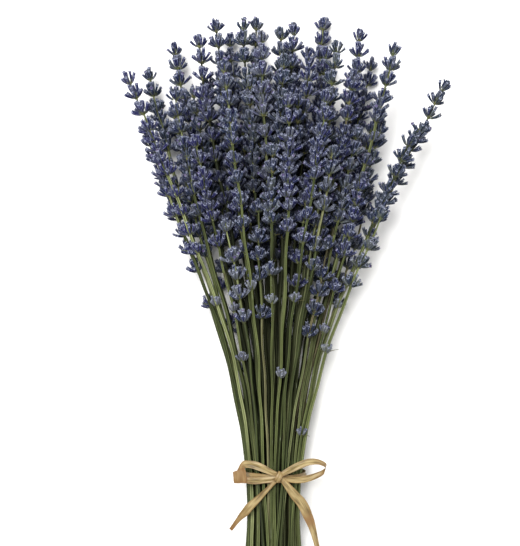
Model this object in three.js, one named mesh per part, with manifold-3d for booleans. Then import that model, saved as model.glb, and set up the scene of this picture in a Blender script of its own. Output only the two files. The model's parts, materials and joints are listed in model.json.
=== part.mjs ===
// A bunch of dried lavender, tied with raffia and lying on a flat surface.
// Millimetres, +Z up. The bunch lies along Y: cut ends towards -Y, flower heads towards +Y.
// Sprigs are gathered a few at a time into sprays. In each spray the stems are pressed into each other
// where the raffia binds them, and the heads have caught in each other as they dried.
import * as THREE from "three";
import { mergeVertices } from "three/addons/utils/BufferGeometryUtils.js";
import Module from "manifold-3d";

const wasm = await Module();
wasm.setup();

// Driving dimensions
const SPRAY_COUNT = 25;
const SPRAY_SIZE = 3; // sprigs in a spray
const SEED = 26;
const STEM_SIDE = 2.2; // a lavender stem is square
const STEM_TOP_SIDE = 1.8;
const RACHIS_RADIUS = 1.1;
const CUT_END_Y = -88;
const CUT_END_SCATTER = 7;
const SEAT_GAP = 0.3; // between a stem and the head that it carries
const STEM_GAP = 0.42;
const PRESSED_SPAN = 15; // how far from the raffia, each way, they stay so close
const PRESSED_PITCH = 2.3; // between neighbouring stems of one spray under the raffia

// Heads: whorls of florets up a slim rachis, the lowest first
const WHORL_PITCHES = [16.5, 14.2, 12.6, 11.4, 10.4];
const WHORL_RADII = [7.8, 8.5, 8.7, 8.4, 7.5, 4.9];
const FLORETS = 5;
const FLORET_RISE = 9.6; // from a whorl's foot to its floret tips
const LAST_FLORET_RISE = 8;
const DRAWN_IN_RISE = 1.5; // a floret that is drawn in stands up by as much as this
const TIP_RISE = 9; // the bud that ends a head
const FOOT_RADIUS = 2.3; // of a whorl's foot, where the florets come out of the rachis
const DIP_RADIUS = 5; // where neighbouring florets part
const DIP_RISE = 4.5;
const LAST_DIP_SHARE = 0.75; // of the dip radius, in the last whorl
const HEART_RISE = 5; // where the rachis comes out between the florets
const RACHIS_SIDES = 3;
const REMOTE_PITCH = 27; // a first whorl that stands apart, lower down the stem
const REMOTE_SHARE = 0.28; // of the heads have one
const SHORT_SHARE = 0.34; // of the heads have one whorl less than the others
const LEAST_STRETCH = 0.93; // heads differ this much in length
const MOST_STRETCH = 1.07;
const HEAD_ROOM = 6.4; // room that a head takes round its stem
const ROOM_BELOW = 2; // which begins this far below its lowest whorl
const TOUCH_PITCH = 10.8; // between two heads that have caught in each other
const CATCH_RISE = 3; // how far up a whorl its neighbour's floret has caught in it
const BEND_STEP = 0.9; // a floret that would cross something is drawn in by this much at a time
const MOST_BEND = 0.42;
const NEAREST_SPAN = 1; // florets whose distances differ by less than this are drawn in together
const BEND_ROUNDS = 40;
const HEAD_GAP = 0.3; // between a head and what is beside it

// The bunch: half width and half height of its outline, and the height of its middle, at each level
const LEVELS = [
  { y: CUT_END_Y, halfWidth: 19, halfHeight: 13.8, middle: 17, flare: 0 },
  { y: 0, halfWidth: 18.6, halfHeight: 13.4, middle: 17.4, flare: 0 },
  { y: 95, halfWidth: 38, halfHeight: 20, middle: 24, flare: 0 },
  { y: 170, halfWidth: 66, halfHeight: 26, middle: 31, flare: 2 },
  { y: 245, halfWidth: 92, halfHeight: 28, middle: 35, flare: 10 },
  { y: 330, halfWidth: 110, halfHeight: 27, middle: 36, flare: 44 },
];
const WAIST_LEVEL = 1;
const TOP_LEVEL = LEVELS.length - 1;
const SIDE_SAG = 0.6; // the lower sprigs at the sides have sunk towards the surface
const TIDY = 0.02; // corners closer to a flat face than this are left out of a joined solid

// Where the tips of the sprigs are, and how the sprigs of a spray differ
const TIP_TOP = 318; // tips in the middle of the dome
const TIP_SIDE_DROP = 44;
const TIP_BACK_DROP = 22; // underneath
const TIP_FRONT_DROP = 68; // on the upper side, where short sprigs lie over long ones
const FIRST_STAGGER = 2;
const INNER_STAGGER = 28; // how far each sprig of a spray stands below the one before it
const OUTER_STAGGER = 47;
const FRONT_STAGGER = 14;
const TIP_SCATTER = 14;
const UPWARD_SHARE = 0.3; // more of the sprigs lie on the upper side than underneath
const LOW_FRONT_DROP = 18; // the last sprig of a spray that lies on top is shorter still
const ON_TOP = 0.25; // share of the half height from which a spray counts as lying on top
const TURN_SCATTER = 0.15; // radians, round the bunch
const LEAN_SCATTER = 0.5; // radians, of the row that the sprigs of a spray stand in
const LEAST_SPREAD = 3; // between neighbours of a spray, above the raffia
const SPREAD_GROWTH = 0.045; // per mm up the bunch
const MOST_SPREAD = 10;

// The outermost spray on each side has sprung out: how far sideways its tips go, and how much lower they end
const STRAYS = [
  { side: -1, shift: -20, lower: 6 },
  { side: 1, shift: 34, lower: 4 },
];
const STRAY_START_Y = 70;
const STRAY_CURVE = 1.4; // above 1 the spray bends away more and more
const STRAY_LESS = 0.3; // each next sprig of the spray has sprung out by this share less

// How the sprigs make room for each other, a little in each round
const SETTLE_ROUNDS = 1600;
const SAMPLE_STEP = 10; // their distances are measured at heights this far apart
const PUSH_SHARE = 0.13;
const HOLD_SHARE = 0.03; // of the way back to a sprig's own place
const HOLD_SPAN = 0.8; // share of the rounds in which that pull dies away
const STRAIGHTEN_SHARE = 0.06;
const GATHER_SHARE = 0.45;
const MEASURE_EVERY = 20; // rounds
const LEVEL_CLEARANCE = 6; // a stem has no corner closer to its top than this

// Raffia
const RAFFIA_THICKNESS = 0.9;
const BAND_WIDTH = 6.6;
const BAND_SIDES = 24;
const BAND_GAP = 0.35;
const BAND_FLARE = 0.5; // how far a stem may lean outwards within half the width of the band
const BAND_HALF_WIDTH = 21.4; // inside of the band
const BAND_HALF_HEIGHT = 16.4;
const KNOT_X = 2.5;
const KNOT_Y = 1.5;
const KNOT_RISE = 1.2; // of its middle over the band
const KNOT_HALF_SIZES = [4, 3.8, 2.8];
const RIBBON_WIDTH = 5.2;
const LEFT_LOOP = { reach: -31, shift: 3 }; // sideways from the knot, and up the bunch
const RIGHT_LOOP = { reach: 34, shift: 6 };
const LOOP_STEPS = 10;
const LOOP_FULLNESS = 0.8; // below 1 a loop is blunter
const LOOP_HALF_SPREAD = 4.6; // along the bunch, from the middle of a loop to each strand
const LOOP_HALF_RISE = 3;
const LOOP_TILT = new THREE.Vector3(0, -0.88, 0.47); // across the strip of a loop
const LOOP_PINCH = 0.6; // of the strip's width, at the knot
const LOOP_DROOP = 0.006; // per mm, of the distance from the knot squared
const TAIL_DROOP = 0.0105;
const LEFT_TAIL = [
  // x, y and width of the strip at places along it
  [1.5, 0, 3],
  [-3, -6, 4],
  [-9, -13, 5],
  [-15, -20, 5],
  [-21, -26, 4.8],
  [-27, -32, 3.4],
  [-31, -37, 1.4],
];
const RIGHT_TAIL = [
  [3.5, 0, 3.4],
  [8, -6, 5.6],
  [14, -12, 6.6],
  [20, -19, 6.8],
  [24, -27, 6.6],
  [27.5, -36, 6],
  [30.5, -46, 5.2],
  [33, -56, 3.8],
  [34.5, -63, 1.6],
];

const STEM_FINISH = { color: 0x6f7650, roughness: 0.85, metalness: 0 };
const FLORET_FINISH = { color: 0x5a5c7e, roughness: 0.9, metalness: 0 };
const RAFFIA_FINISH = { color: 0xc9a566, roughness: 0.7, metalness: 0 };

const STEM_HALF = STEM_SIDE / Math.SQRT2; // from its middle to a corner
const FLORET_ANGLE = (2 * Math.PI) / FLORETS;
const RACHIS_ANGLE = (2 * Math.PI) / RACHIS_SIDES;
const BAND_MIDDLE = BAND_HALF_HEIGHT + RAFFIA_THICKNESS;

// A seeded source of even random numbers from 0 to 1.
function randomSource(seed) {
  let state = seed >>> 0;
  return () => {
    state = (state + 0x6d2b79f5) >>> 0;
    let t = state;
    t = Math.imul(t ^ (t >>> 15), t | 1);
    t ^= t + Math.imul(t ^ (t >>> 7), t | 61);
    return ((t ^ (t >>> 14)) >>> 0) / 4294967296;
  };
}

const between = (random, low, high) => low + (high - low) * random();

// Where each sprig belongs before the sprigs make room for each other.
function planSprigs() {
  const random = randomSource(SEED);
  const golden = Math.PI * (3 - Math.sqrt(5));
  const sprigs = [];
  for (let spray = 0; spray < SPRAY_COUNT; spray += 1) {
    const reach = Math.sqrt((spray + 0.5) / SPRAY_COUNT);
    const even = spray * golden + between(random, -TURN_SCATTER, TURN_SCATTER);
    const turn = even + UPWARD_SHARE * Math.cos(even);
    const u = reach * Math.cos(turn);
    const v = reach * Math.sin(turn);
    const lean = turn + Math.PI / 2 + between(random, -LEAN_SCATTER, LEAN_SCATTER);
    const order = random() < 0.5 ? 1 : -1;
    const faceDrop = v > 0 ? TIP_FRONT_DROP : TIP_BACK_DROP;
    const pitch = INNER_STAGGER + (OUTER_STAGGER - INNER_STAGGER) * reach - FRONT_STAGGER * Math.max(0, v);
    for (let m = 0; m < SPRAY_SIZE; m += 1) {
      const stagger = FIRST_STAGGER + m * pitch;
      const low = m === SPRAY_SIZE - 1 && v > ON_TOP ? LOW_FRONT_DROP * random() : 0;
      const scatter = between(random, -0.5, 0.5) * TIP_SCATTER;
      const whorls = WHORL_RADII.length - (random() < SHORT_SHARE ? 1 : 0);
      sprigs.push({
        spray,
        member: m,
        side: (m - (SPRAY_SIZE - 1) / 2) * order,
        u,
        v,
        lean,
        tipY: TIP_TOP - TIP_SIDE_DROP * u * u - faceDrop * v * v - stagger - low + scatter,
        cutY: CUT_END_Y + between(random, -0.5, 0.5) * CUT_END_SCATTER,
        whorls,
        remote: random() < REMOTE_SHARE,
        stretch: between(random, LEAST_STRETCH, MOST_STRETCH),
        spin: between(random, 0, 2 * Math.PI),
        twist: between(random, 0, Math.PI / 2),
      });
    }
  }
  return sprigs;
}

// Distances of a head's whorl bases from its lowest one, and the length of the whole head.
function headMeasures(sprig) {
  const pitches = WHORL_PITCHES.slice(WHORL_PITCHES.length - sprig.whorls + 1).map((p) => p * sprig.stretch);
  if (sprig.remote) pitches[0] = REMOTE_PITCH * sprig.stretch;
  const bases = [0];
  pitches.forEach((p) => bases.push(bases[bases.length - 1] + p));
  return { bases, length: bases[bases.length - 1] + TIP_RISE };
}

// The two levels round a height along Y, and the share of the upper one.
function bracket(y) {
  let upper = 1;
  while (upper < TOP_LEVEL && LEVELS[upper].y < y) upper += 1;
  const low = LEVELS[upper - 1].y;
  return { lower: upper - 1, upper, share: (y - low) / (LEVELS[upper].y - low) };
}

// A point of a sprig's path, which runs straight from level to level.
function pathPoint(sprig, y) {
  const { lower, upper, share } = bracket(y);
  const a = sprig.path[lower];
  const b = sprig.path[upper];
  return new THREE.Vector3(a.x + (b.x - a.x) * share, y, a.z + (b.z - a.z) * share);
}

// Targets of a sprig's path: the outline of the bunch scaled to the sprig's place in it.
function aimSprig(sprig) {
  sprig.aim = LEVELS.map((level, index) => {
    const sag = index > WAIST_LEVEL && sprig.v < 0 ? 1 + SIDE_SAG * sprig.u ** 2 : 1;
    const loose = Math.min(MOST_SPREAD, LEAST_SPREAD + SPREAD_GROWTH * level.y);
    const spread = index <= WAIST_LEVEL ? PRESSED_PITCH : loose;
    return {
      x: level.halfWidth * sprig.u + level.flare * sprig.u ** 5 + spread * sprig.side * Math.cos(sprig.lean),
      z: level.middle + level.halfHeight * sprig.v * sag + spread * sprig.side * Math.sin(sprig.lean),
    };
  });
  sprig.path = sprig.aim.map((p) => ({ ...p }));
}

// The sprigs farthest out on each side have sprung away from the rest.
function springOut(sprigs) {
  STRAYS.forEach(({ side, shift, lower }) => {
    const spray = sprigs.reduce((far, s) => (s.u * side > far.u * side ? s : far)).spray;
    sprigs
      .filter((s) => s.spray === spray)
      .forEach((s) => {
        const share = 1 - STRAY_LESS * s.member;
        s.tipY -= lower;
        LEVELS.forEach((level, index) => {
          const rise = Math.max(0, (level.y - STRAY_START_Y) / (LEVELS[TOP_LEVEL].y - STRAY_START_Y));
          s.aim[index].x += shift * share * rise ** STRAY_CURVE;
          s.path[index].x = s.aim[index].x;
        });
      });
  });
}

// Height along Y of the lowest whorl, walking down the path from the tip.
function headBaseY(sprig, length) {
  let y = sprig.tipY;
  let left = length;
  while (left > 0) {
    const { lower, upper } = bracket(y);
    const low = LEVELS[lower].y;
    const dx = (sprig.path[upper].x - sprig.path[lower].x) / (LEVELS[upper].y - low);
    const dz = (sprig.path[upper].z - sprig.path[lower].z) / (LEVELS[upper].y - low);
    const slope = Math.sqrt(1 + dx * dx + dz * dz);
    const room = (y - low) * slope;
    if (room >= left || lower === 0) return y - left / slope;
    left -= room;
    y = low;
  }
  return y;
}

// The room that each sprig takes at each sampled height: its head's, its stem's, or none past its tip.
function roomAt(sprig, y) {
  if (y > sprig.tipY + SAMPLE_STEP / 2) return 0;
  return y > sprig.baseY - ROOM_BELOW ? HEAD_ROOM : STEM_HALF + STEM_GAP / 2;
}

// The height at which two neighbours of a spray touch with their heads, in the span that both heads have.
function touchHeight(a, b) {
  return (Math.max(a.baseY, b.baseY) + Math.min(a.tipY, b.tipY)) / 2;
}

// Pushes the sprigs apart until none crosses another, the surface below or the raffia, while each keeps near
// its own place and neighbours of a spray stay together.
function settle(sprigs) {
  const samples = [];
  for (let y = CUT_END_Y; y <= TIP_TOP + SAMPLE_STEP; y += SAMPLE_STEP) samples.push(y);
  const brackets = samples.map(bracket);
  const count = sprigs.length;
  for (let round = 0; round < SETTLE_ROUNDS; round += 1) {
    if (round % MEASURE_EVERY === 0) placeHeads(sprigs);
    const hold = HOLD_SHARE * Math.max(0, 1 - round / (HOLD_SPAN * SETTLE_ROUNDS));
    const moves = sprigs.map(() => LEVELS.map(() => ({ x: 0, z: 0 })));
    const push = (i, place, dx, dz) => {
      moves[i][place.lower].x += dx * (1 - place.share);
      moves[i][place.lower].z += dz * (1 - place.share);
      moves[i][place.upper].x += dx * place.share;
      moves[i][place.upper].z += dz * place.share;
    };
    samples.forEach((y, index) => {
      const rooms = sprigs.map((s) => roomAt(s, y));
      const points = sprigs.map((s) => pathPoint(s, y));
      for (let i = 0; i < count; i += 1) {
        if (!rooms[i]) continue;
        const below = rooms[i] - points[i].z;
        if (below > 0) push(i, brackets[index], 0, 2 * PUSH_SHARE * below);
        for (let j = i + 1; j < count; j += 1) {
          if (!rooms[j]) continue;
          const dx = points[j].x - points[i].x;
          const dz = points[j].z - points[i].z;
          const apart = Math.sqrt(dx * dx + dz * dz) + 1e-9;
          let need = rooms[i] + rooms[j];
          if (sprigs[i].spray === sprigs[j].spray && Math.abs(sprigs[i].member - sprigs[j].member) === 1) {
            if (rooms[i] === HEAD_ROOM && rooms[j] === HEAD_ROOM) need = TOUCH_PITCH;
            if (Math.abs(y) < PRESSED_SPAN && need < HEAD_ROOM) need = PRESSED_PITCH;
          }
          if (apart >= need) continue;
          const move = (PUSH_SHARE * (need - apart)) / 2 / apart;
          push(i, brackets[index], -dx * move, -dz * move);
          push(j, brackets[index], dx * move, dz * move);
        }
      }
    });
    for (let i = 0; i < count - 1; i += 1) {
      const a = sprigs[i];
      const b = sprigs[i + 1];
      if (a.spray !== b.spray) continue;
      const y = touchHeight(a, b);
      const p = pathPoint(a, y);
      const q = pathPoint(b, y);
      const dx = q.x - p.x;
      const dz = q.z - p.z;
      const apart = Math.sqrt(dx * dx + dz * dz) + 1e-9;
      if (apart <= TOUCH_PITCH) continue;
      const move = (GATHER_SHARE * (TOUCH_PITCH - apart)) / 2 / apart;
      push(i, bracket(y), -dx * move, -dz * move);
      push(i + 1, bracket(y), dx * move, dz * move);
    }
    sprigs.forEach((s, i) => {
      const bend = s.path.map((p, l) => ({ x: p.x - s.aim[l].x, z: p.z - s.aim[l].z }));
      s.path.forEach((p, l) => {
        const before = bend[Math.max(0, l - 1)];
        const after = bend[Math.min(TOP_LEVEL, l + 1)];
        p.x += moves[i][l].x + STRAIGHTEN_SHARE * ((before.x + after.x) / 2 - bend[l].x) - hold * bend[l].x;
        p.z += moves[i][l].z + STRAIGHTEN_SHARE * ((before.z + after.z) / 2 - bend[l].z) - hold * bend[l].z;
      });
    });
    pressTogether(sprigs);
  }
  placeHeads(sprigs);
}

// Measures where each head begins.
function placeHeads(sprigs) {
  sprigs.forEach((s) => {
    s.baseY = headBaseY(s, s.measures.length);
  });
}

// Under the raffia the stems of a spray lie in a row, pressed into each other and inside the raffia.
function pressTogether(sprigs) {
  for (let spray = 0; spray < SPRAY_COUNT; spray += 1) {
    const row = sprigs.filter((s) => s.spray === spray);
    const points = row.map((s) => s.path[WAIST_LEVEL]);
    const centre = { x: 0, z: 0 };
    points.forEach((p) => {
      centre.x += p.x / row.length;
      centre.z += p.z / row.length;
    });
    const last = points[points.length - 1];
    const dx = last.x - points[0].x;
    const dz = last.z - points[0].z;
    const length = Math.sqrt(dx * dx + dz * dz) + 1e-9;
    const place = () =>
      points.forEach((p, m) => {
        const off = (m - (points.length - 1) / 2) * PRESSED_PITCH;
        p.x = centre.x + (off * dx) / length;
        p.z = centre.z + (off * dz) / length;
      });
    place();
    const shift = { x: 0, z: 0 };
    points.forEach((p) => {
      const inside = insideBand(p);
      shift.x += inside.x - p.x;
      shift.z += inside.z - p.z;
    });
    centre.x += shift.x;
    centre.z += shift.z;
    place();
  }
}

// The nearest place along the way to the middle at which a stem is inside the raffia.
function insideBand(point) {
  const margin = STEM_HALF + BAND_GAP + BAND_FLARE + BAND_HALF_WIDTH * (1 - Math.cos(Math.PI / BAND_SIDES));
  const x = point.x / (BAND_HALF_WIDTH - margin);
  const z = (point.z - BAND_MIDDLE) / (BAND_HALF_HEIGHT - margin);
  const out = Math.max(1, Math.sqrt(x * x + z * z));
  return { x: point.x / out, z: BAND_MIDDLE + (point.z - BAND_MIDDLE) / out };
}

// Turns a closed geometry into a solid that can be joined to others.
function solidOf(geometry) {
  const bare = geometry.clone();
  bare.deleteAttribute("normal");
  bare.deleteAttribute("uv");
  const merged = mergeVertices(bare, 1e-4);
  return new wasm.Manifold(
    new wasm.Mesh({
      numProp: 3,
      vertProperties: new Float32Array(merged.attributes.position.array),
      triVerts: new Uint32Array(merged.index.array),
    }),
  );
}

const joined = (solids) => solids.reduce((whole, piece) => whole.add(piece)).simplify(TIDY);

// A named mesh of a solid, with a material of its own.
function meshOf(name, solid, finish) {
  const made = solid.getMesh();
  const geometry = new THREE.BufferGeometry();
  geometry.setAttribute("position", new THREE.BufferAttribute(new Float32Array(made.vertProperties), 3));
  geometry.setIndex(new THREE.BufferAttribute(new Uint32Array(made.triVerts), 1));
  geometry.computeVertexNormals();
  const mesh = new THREE.Mesh(geometry, new THREE.MeshStandardMaterial(finish));
  mesh.name = name;
  return mesh;
}

// Axes across a direction of growth: the first one lies nearest to X.
function framePointing(direction) {
  const along = direction.clone().normalize();
  const first = new THREE.Vector3(1, 0, 0).addScaledVector(along, -along.x).normalize();
  return { along, first, second: new THREE.Vector3().crossVectors(along, first) };
}

// A point at a radius, an angle and a height over a centre, in such axes.
function around(centre, frame, radius, angle, height = 0) {
  return centre
    .clone()
    .addScaledVector(frame.first, radius * Math.cos(angle))
    .addScaledVector(frame.second, radius * Math.sin(angle))
    .addScaledVector(frame.along, height);
}

// A long box whose cross-sections are moved, turned and sized one by one: each has the place of its middle,
// the directions of its width and its thickness, and their sizes.
function bentBar(sections) {
  const steps = sections.length - 1;
  const geometry = new THREE.BoxGeometry(1, 1, 1, 1, 1, steps);
  const { position } = geometry.attributes;
  const corner = new THREE.Vector3();
  for (let i = 0; i < position.count; i += 1) {
    corner.fromBufferAttribute(position, i);
    const { at, across, up, width, thickness } = sections[Math.round((corner.z + 0.5) * steps)];
    const moved = at
      .clone()
      .addScaledVector(across, corner.x * width)
      .addScaledVector(up, corner.y * thickness);
    position.setXYZ(i, moved.x, moved.y, moved.z);
  }
  return solidOf(geometry);
}

// A tapering square stem along a sprig's path, from its cut end to the seat of its head.
function stemSolid(sprig) {
  const top = sprig.baseY - SEAT_GAP;
  const inside = LEVELS.slice(1).map((l) => l.y).filter((y) => y < top - LEVEL_CLEARANCE);
  const centres = [sprig.cutY, ...inside, top].map((y) => pathPoint(sprig, y));
  const origin = new THREE.Vector3();
  return bentBar(
    centres.map((at, index) => {
      const ahead = centres[Math.min(index + 1, centres.length - 1)];
      const behind = centres[Math.max(index - 1, 0)];
      const frame = framePointing(ahead.clone().sub(behind));
      const share = (at.y - sprig.cutY) / (top - sprig.cutY);
      const side = STEM_SIDE + (STEM_TOP_SIDE - STEM_SIDE) * share;
      return {
        at,
        across: around(origin, frame, 1, sprig.twist + Math.PI / 4),
        up: around(origin, frame, 1, sprig.twist + (3 * Math.PI) / 4),
        width: side,
        thickness: side,
      };
    }),
  );
}

// The point and direction on a sprig's path at a distance up from its lowest whorl.
function alongHead(sprig, distance) {
  let y = sprig.baseY;
  let left = distance;
  for (;;) {
    const { lower, upper } = bracket(y + 1e-6);
    const a = pathPoint(sprig, LEVELS[lower].y);
    const b = pathPoint(sprig, LEVELS[upper].y);
    const direction = b.clone().sub(a).divideScalar(b.y - a.y);
    const slope = direction.length();
    const room = (LEVELS[upper].y - y) * slope;
    if (room >= left || upper === TOP_LEVEL) {
      const reached = y + left / slope;
      return { centre: pathPoint(sprig, reached), frame: framePointing(direction) };
    }
    left -= room;
    y = LEVELS[upper].y;
  }
}

// The middle and the floret tips of each whorl of a head, before they are joined up.
function whorlsOf(sprig, withCaught) {
  const { bases } = sprig.measures;
  return bases.map((base, index) => {
    const last = index === bases.length - 1;
    const { centre, frame } = alongHead(sprig, base);
    const turn = sprig.spin + index * (FLORET_ANGLE / 2);
    const radius = WHORL_RADII[index + WHORL_RADII.length - bases.length];
    const rise = last ? LAST_FLORET_RISE : FLORET_RISE;
    const tips = Array.from({ length: FLORETS }, (_, k) => {
      if (withCaught && sprig.caught && sprig.caught.whorl === index && k === 0) return sprig.caught.at;
      const bend = sprig.bends[index * FLORETS + k];
      const height = rise + (1 - bend) * DRAWN_IN_RISE;
      return around(centre, frame, radius * bend, turn + k * FLORET_ANGLE, height);
    });
    return { base, last, centre, frame, turn, tips };
  });
}

// A flower head: whorls of pointed florets that open like small crowns, on one rachis.
function headSolid(sprig, withCaught) {
  const points = [];
  const triangles = [];
  const ring = (list) => list.map((p) => points.push(p) - 1);
  const rachisRing = (distance, radius) => {
    const { centre, frame } = alongHead(sprig, distance);
    const angles = Array.from({ length: RACHIS_SIDES }, (_, k) => sprig.spin + k * RACHIS_ANGLE);
    return ring(angles.map((angle) => around(centre, frame, radius, angle)));
  };
  // Joins a ring of the rachis to a whorl's rim of tips and dips: each side of the ring meets one dip.
  const joinRim = (small, rim, turn, outwards) => {
    const size = rim.length;
    const meets = small.map((_, k) => {
      const middle = sprig.spin + (k + 0.5) * RACHIS_ANGLE - turn;
      const dip = Math.round(middle / FLORET_ANGLE - 0.5);
      return 2 * (((dip % FLORETS) + FLORETS) % FLORETS) + 1;
    });
    const add = (a, b, c) => (outwards ? triangles.push(a, b, c) : triangles.push(a, c, b));
    small.forEach((corner, k) => {
      const to = meets[k];
      let at = meets[(k + RACHIS_SIDES - 1) % RACHIS_SIDES];
      while (at !== to) {
        const next = (at + 1) % size;
        add(corner, rim[next], rim[at]);
        at = next;
      }
      add(corner, small[(k + 1) % RACHIS_SIDES], rim[to]);
    });
  };
  let foot = rachisRing(0, FOOT_RADIUS);
  triangles.push(foot[0], foot[2], foot[1]);
  const whorls = whorlsOf(sprig, withCaught);
  whorls.forEach(({ base, last, centre, frame, turn, tips }, index) => {
    const dipRadius = DIP_RADIUS * (last ? LAST_DIP_SHARE : 1);
    const rim = ring(
      tips.flatMap((tip, k) => [
        tip,
        around(centre, frame, dipRadius, turn + (k + 0.5) * FLORET_ANGLE, DIP_RISE),
      ]),
    );
    joinRim(foot, rim, turn, true);
    if (last) {
      const [apex] = ring([alongHead(sprig, sprig.measures.length).centre]);
      rim.forEach((corner, k) => triangles.push(corner, rim[(k + 1) % rim.length], apex));
      return;
    }
    const heart = rachisRing(base + HEART_RISE, RACHIS_RADIUS);
    joinRim(heart, rim, turn, false);
    foot = rachisRing(whorls[index + 1].base, FOOT_RADIUS);
    foot.forEach((corner, k) => {
      const n = (k + 1) % RACHIS_SIDES;
      triangles.push(heart[k], heart[n], corner, heart[n], foot[n], corner);
    });
  });
  const geometry = new THREE.BufferGeometry().setFromPoints(points);
  geometry.setIndex(triangles);
  return solidOf(geometry);
}

// Turns a head so that one of its florets points at the head before it in the spray. That floret has caught
// in a whorl there, at the place where the two are closest.
function catchFloret(sprig, index, sprigs) {
  const neighbour = sprigs[index - 1];
  if (!neighbour || neighbour.spray !== sprig.spray) return;
  let best = { apart: Infinity };
  sprig.measures.bases.slice(0, -1).forEach((base, whorl) => {
    neighbour.measures.bases.slice(0, -1).forEach((other) => {
      const at = alongHead(neighbour, other + CATCH_RISE).centre;
      const apart = alongHead(sprig, base + FLORET_RISE).centre.distanceTo(at);
      if (apart < best.apart) best = { apart, whorl, at, base };
    });
  });
  const { centre, frame } = alongHead(sprig, best.base);
  const way = best.at.clone().sub(centre);
  sprig.spin = Math.atan2(way.dot(frame.second), way.dot(frame.first)) - best.whorl * (FLORET_ANGLE / 2);
  sprig.caught = best;
}

// Turns the stems of a spray by turns with a corner and with a side to each other.
function turnStem(sprig, index, sprigs) {
  const row = sprigs.filter((s) => s.spray === sprig.spray).map((s) => s.path[WAIST_LEVEL]);
  const last = row[row.length - 1];
  const angle = Math.atan2(row[0].z - last.z, last.x - row[0].x);
  sprig.twist = angle + (sprig.member % 2) * (Math.PI / 4);
}

// Draws in the florets that would come too close to the surface below, a stem or another head.
function bendClear(sprigs) {
  const stems = sprigs.map((s) => placedSolid(stemSolid(s)));
  const heads = [];
  const shape = (i) => {
    const tips = whorlsOf(sprigs[i], false).flatMap((w) => w.tips);
    heads[i] = { ...placedSolid(headSolid(sprigs[i], false)), tips };
  };
  const drawIn = ({ head, index }) => {
    const { bends } = sprigs[head];
    if (bends[index] * BEND_STEP < MOST_BEND) return;
    bends[index] *= BEND_STEP;
    shape(head);
  };
  sprigs.forEach((s, i) => {
    s.bends = s.measures.bases.flatMap(() => new Array(FLORETS).fill(1));
    shape(i);
    s.bends.forEach((_, index) => {
      while (heads[i].tips[index].z < 0 && s.bends[index] > MOST_BEND) drawIn({ head: i, index });
    });
  });
  for (let round = 0; round < BEND_ROUNDS; round += 1) {
    const crowded = [];
    sprigs.forEach((_, i) => {
      sprigs.forEach((__, j) => {
        if (i !== j && tooClose(heads[i], stems[j])) crowded.push(nearestTips(i, heads[i], sprigs[j]));
        if (i < j && tooClose(heads[i], heads[j])) {
          crowded.push(nearestTips(i, heads[i], sprigs[j]), nearestTips(j, heads[j], sprigs[i]));
        }
      });
    });
    if (!crowded.length) return;
    crowded.flat().forEach(drawIn);
  }
}

// The florets of a head that reach farthest towards the middle of another sprig.
function nearestTips(head, { tips }, other) {
  const far = tips.map((tip) => {
    const y = Math.min(Math.max(tip.y, other.cutY), other.tipY);
    return pathPoint(other, y).distanceTo(tip);
  });
  const nearest = Math.min(...far);
  return far.flatMap((distance, index) => (distance < nearest + NEAREST_SPAN ? [{ head, index }] : []));
}

const placedSolid = (solid) => ({ solid, box: solid.boundingBox() });

const tooClose = (a, b) => boxesNear(a.box, b.box) && a.solid.minGap(b.solid, HEAD_GAP) < HEAD_GAP;

const boxesNear = (p, q) =>
  [0, 1, 2].every((axis) => p.min[axis] < q.max[axis] + HEAD_GAP && q.min[axis] < p.max[axis] + HEAD_GAP);

// A flat strip along a list of places, each with its width across and the direction of that width.
function ribbonSolid(stations) {
  const curve = new THREE.CatmullRomCurve3(stations.map((s) => s.at), false, "centripetal");
  return bentBar(
    stations.map((station, index) => {
      const tangent = curve.getTangent(index / (stations.length - 1));
      const across = station.across.clone();
      across.addScaledVector(tangent, -across.dot(tangent)).normalize();
      return {
        at: station.at,
        across,
        up: new THREE.Vector3().crossVectors(tangent, across),
        width: station.width,
        thickness: RAFFIA_THICKNESS,
      };
    }),
  );
}

// The band of raffia that binds the stems.
function bandSolid() {
  const outline = (halfWidth, halfHeight) =>
    Array.from({ length: BAND_SIDES }, (_, k) => {
      const angle = ((k + 0.5) / BAND_SIDES) * 2 * Math.PI;
      return new THREE.Vector2(halfWidth * Math.cos(angle), halfHeight * Math.sin(angle));
    });
  // Outside, the lowest side of the polygon is flat on the surface.
  const flatShare = Math.cos(Math.PI / BAND_SIDES);
  const outside = new THREE.Shape(outline(BAND_HALF_WIDTH + RAFFIA_THICKNESS, BAND_MIDDLE / flatShare));
  outside.holes.push(new THREE.Path(outline(BAND_HALF_WIDTH, BAND_HALF_HEIGHT)));
  const geometry = new THREE.ExtrudeGeometry(outside, { depth: BAND_WIDTH, bevelEnabled: false });
  geometry.translate(0, 0, -BAND_WIDTH / 2).rotateX(Math.PI / 2).translate(0, 0, BAND_MIDDLE);
  return solidOf(geometry);
}

// One loop of the bow, out from the knot and back, wide side up.
function loopSolid(knot, { reach, shift }) {
  const stations = Array.from({ length: LOOP_STEPS + 1 }, (_, k) => {
    const turn = (k / LOOP_STEPS) * Math.PI;
    const out = Math.sin(turn) ** LOOP_FULLNESS;
    const swing = Math.sin(2 * turn);
    const droop = LOOP_DROOP * (reach * out) ** 2;
    const atKnot = k === 0 || k === LOOP_STEPS;
    return {
      at: new THREE.Vector3(
        knot.x + reach * out,
        knot.y + shift * out + LOOP_HALF_SPREAD * swing,
        knot.z + LOOP_HALF_RISE * (out + swing) - droop,
      ),
      across: LOOP_TILT,
      width: RIBBON_WIDTH * (atKnot ? LOOP_PINCH : 1),
    };
  });
  return ribbonSolid(stations);
}

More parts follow.
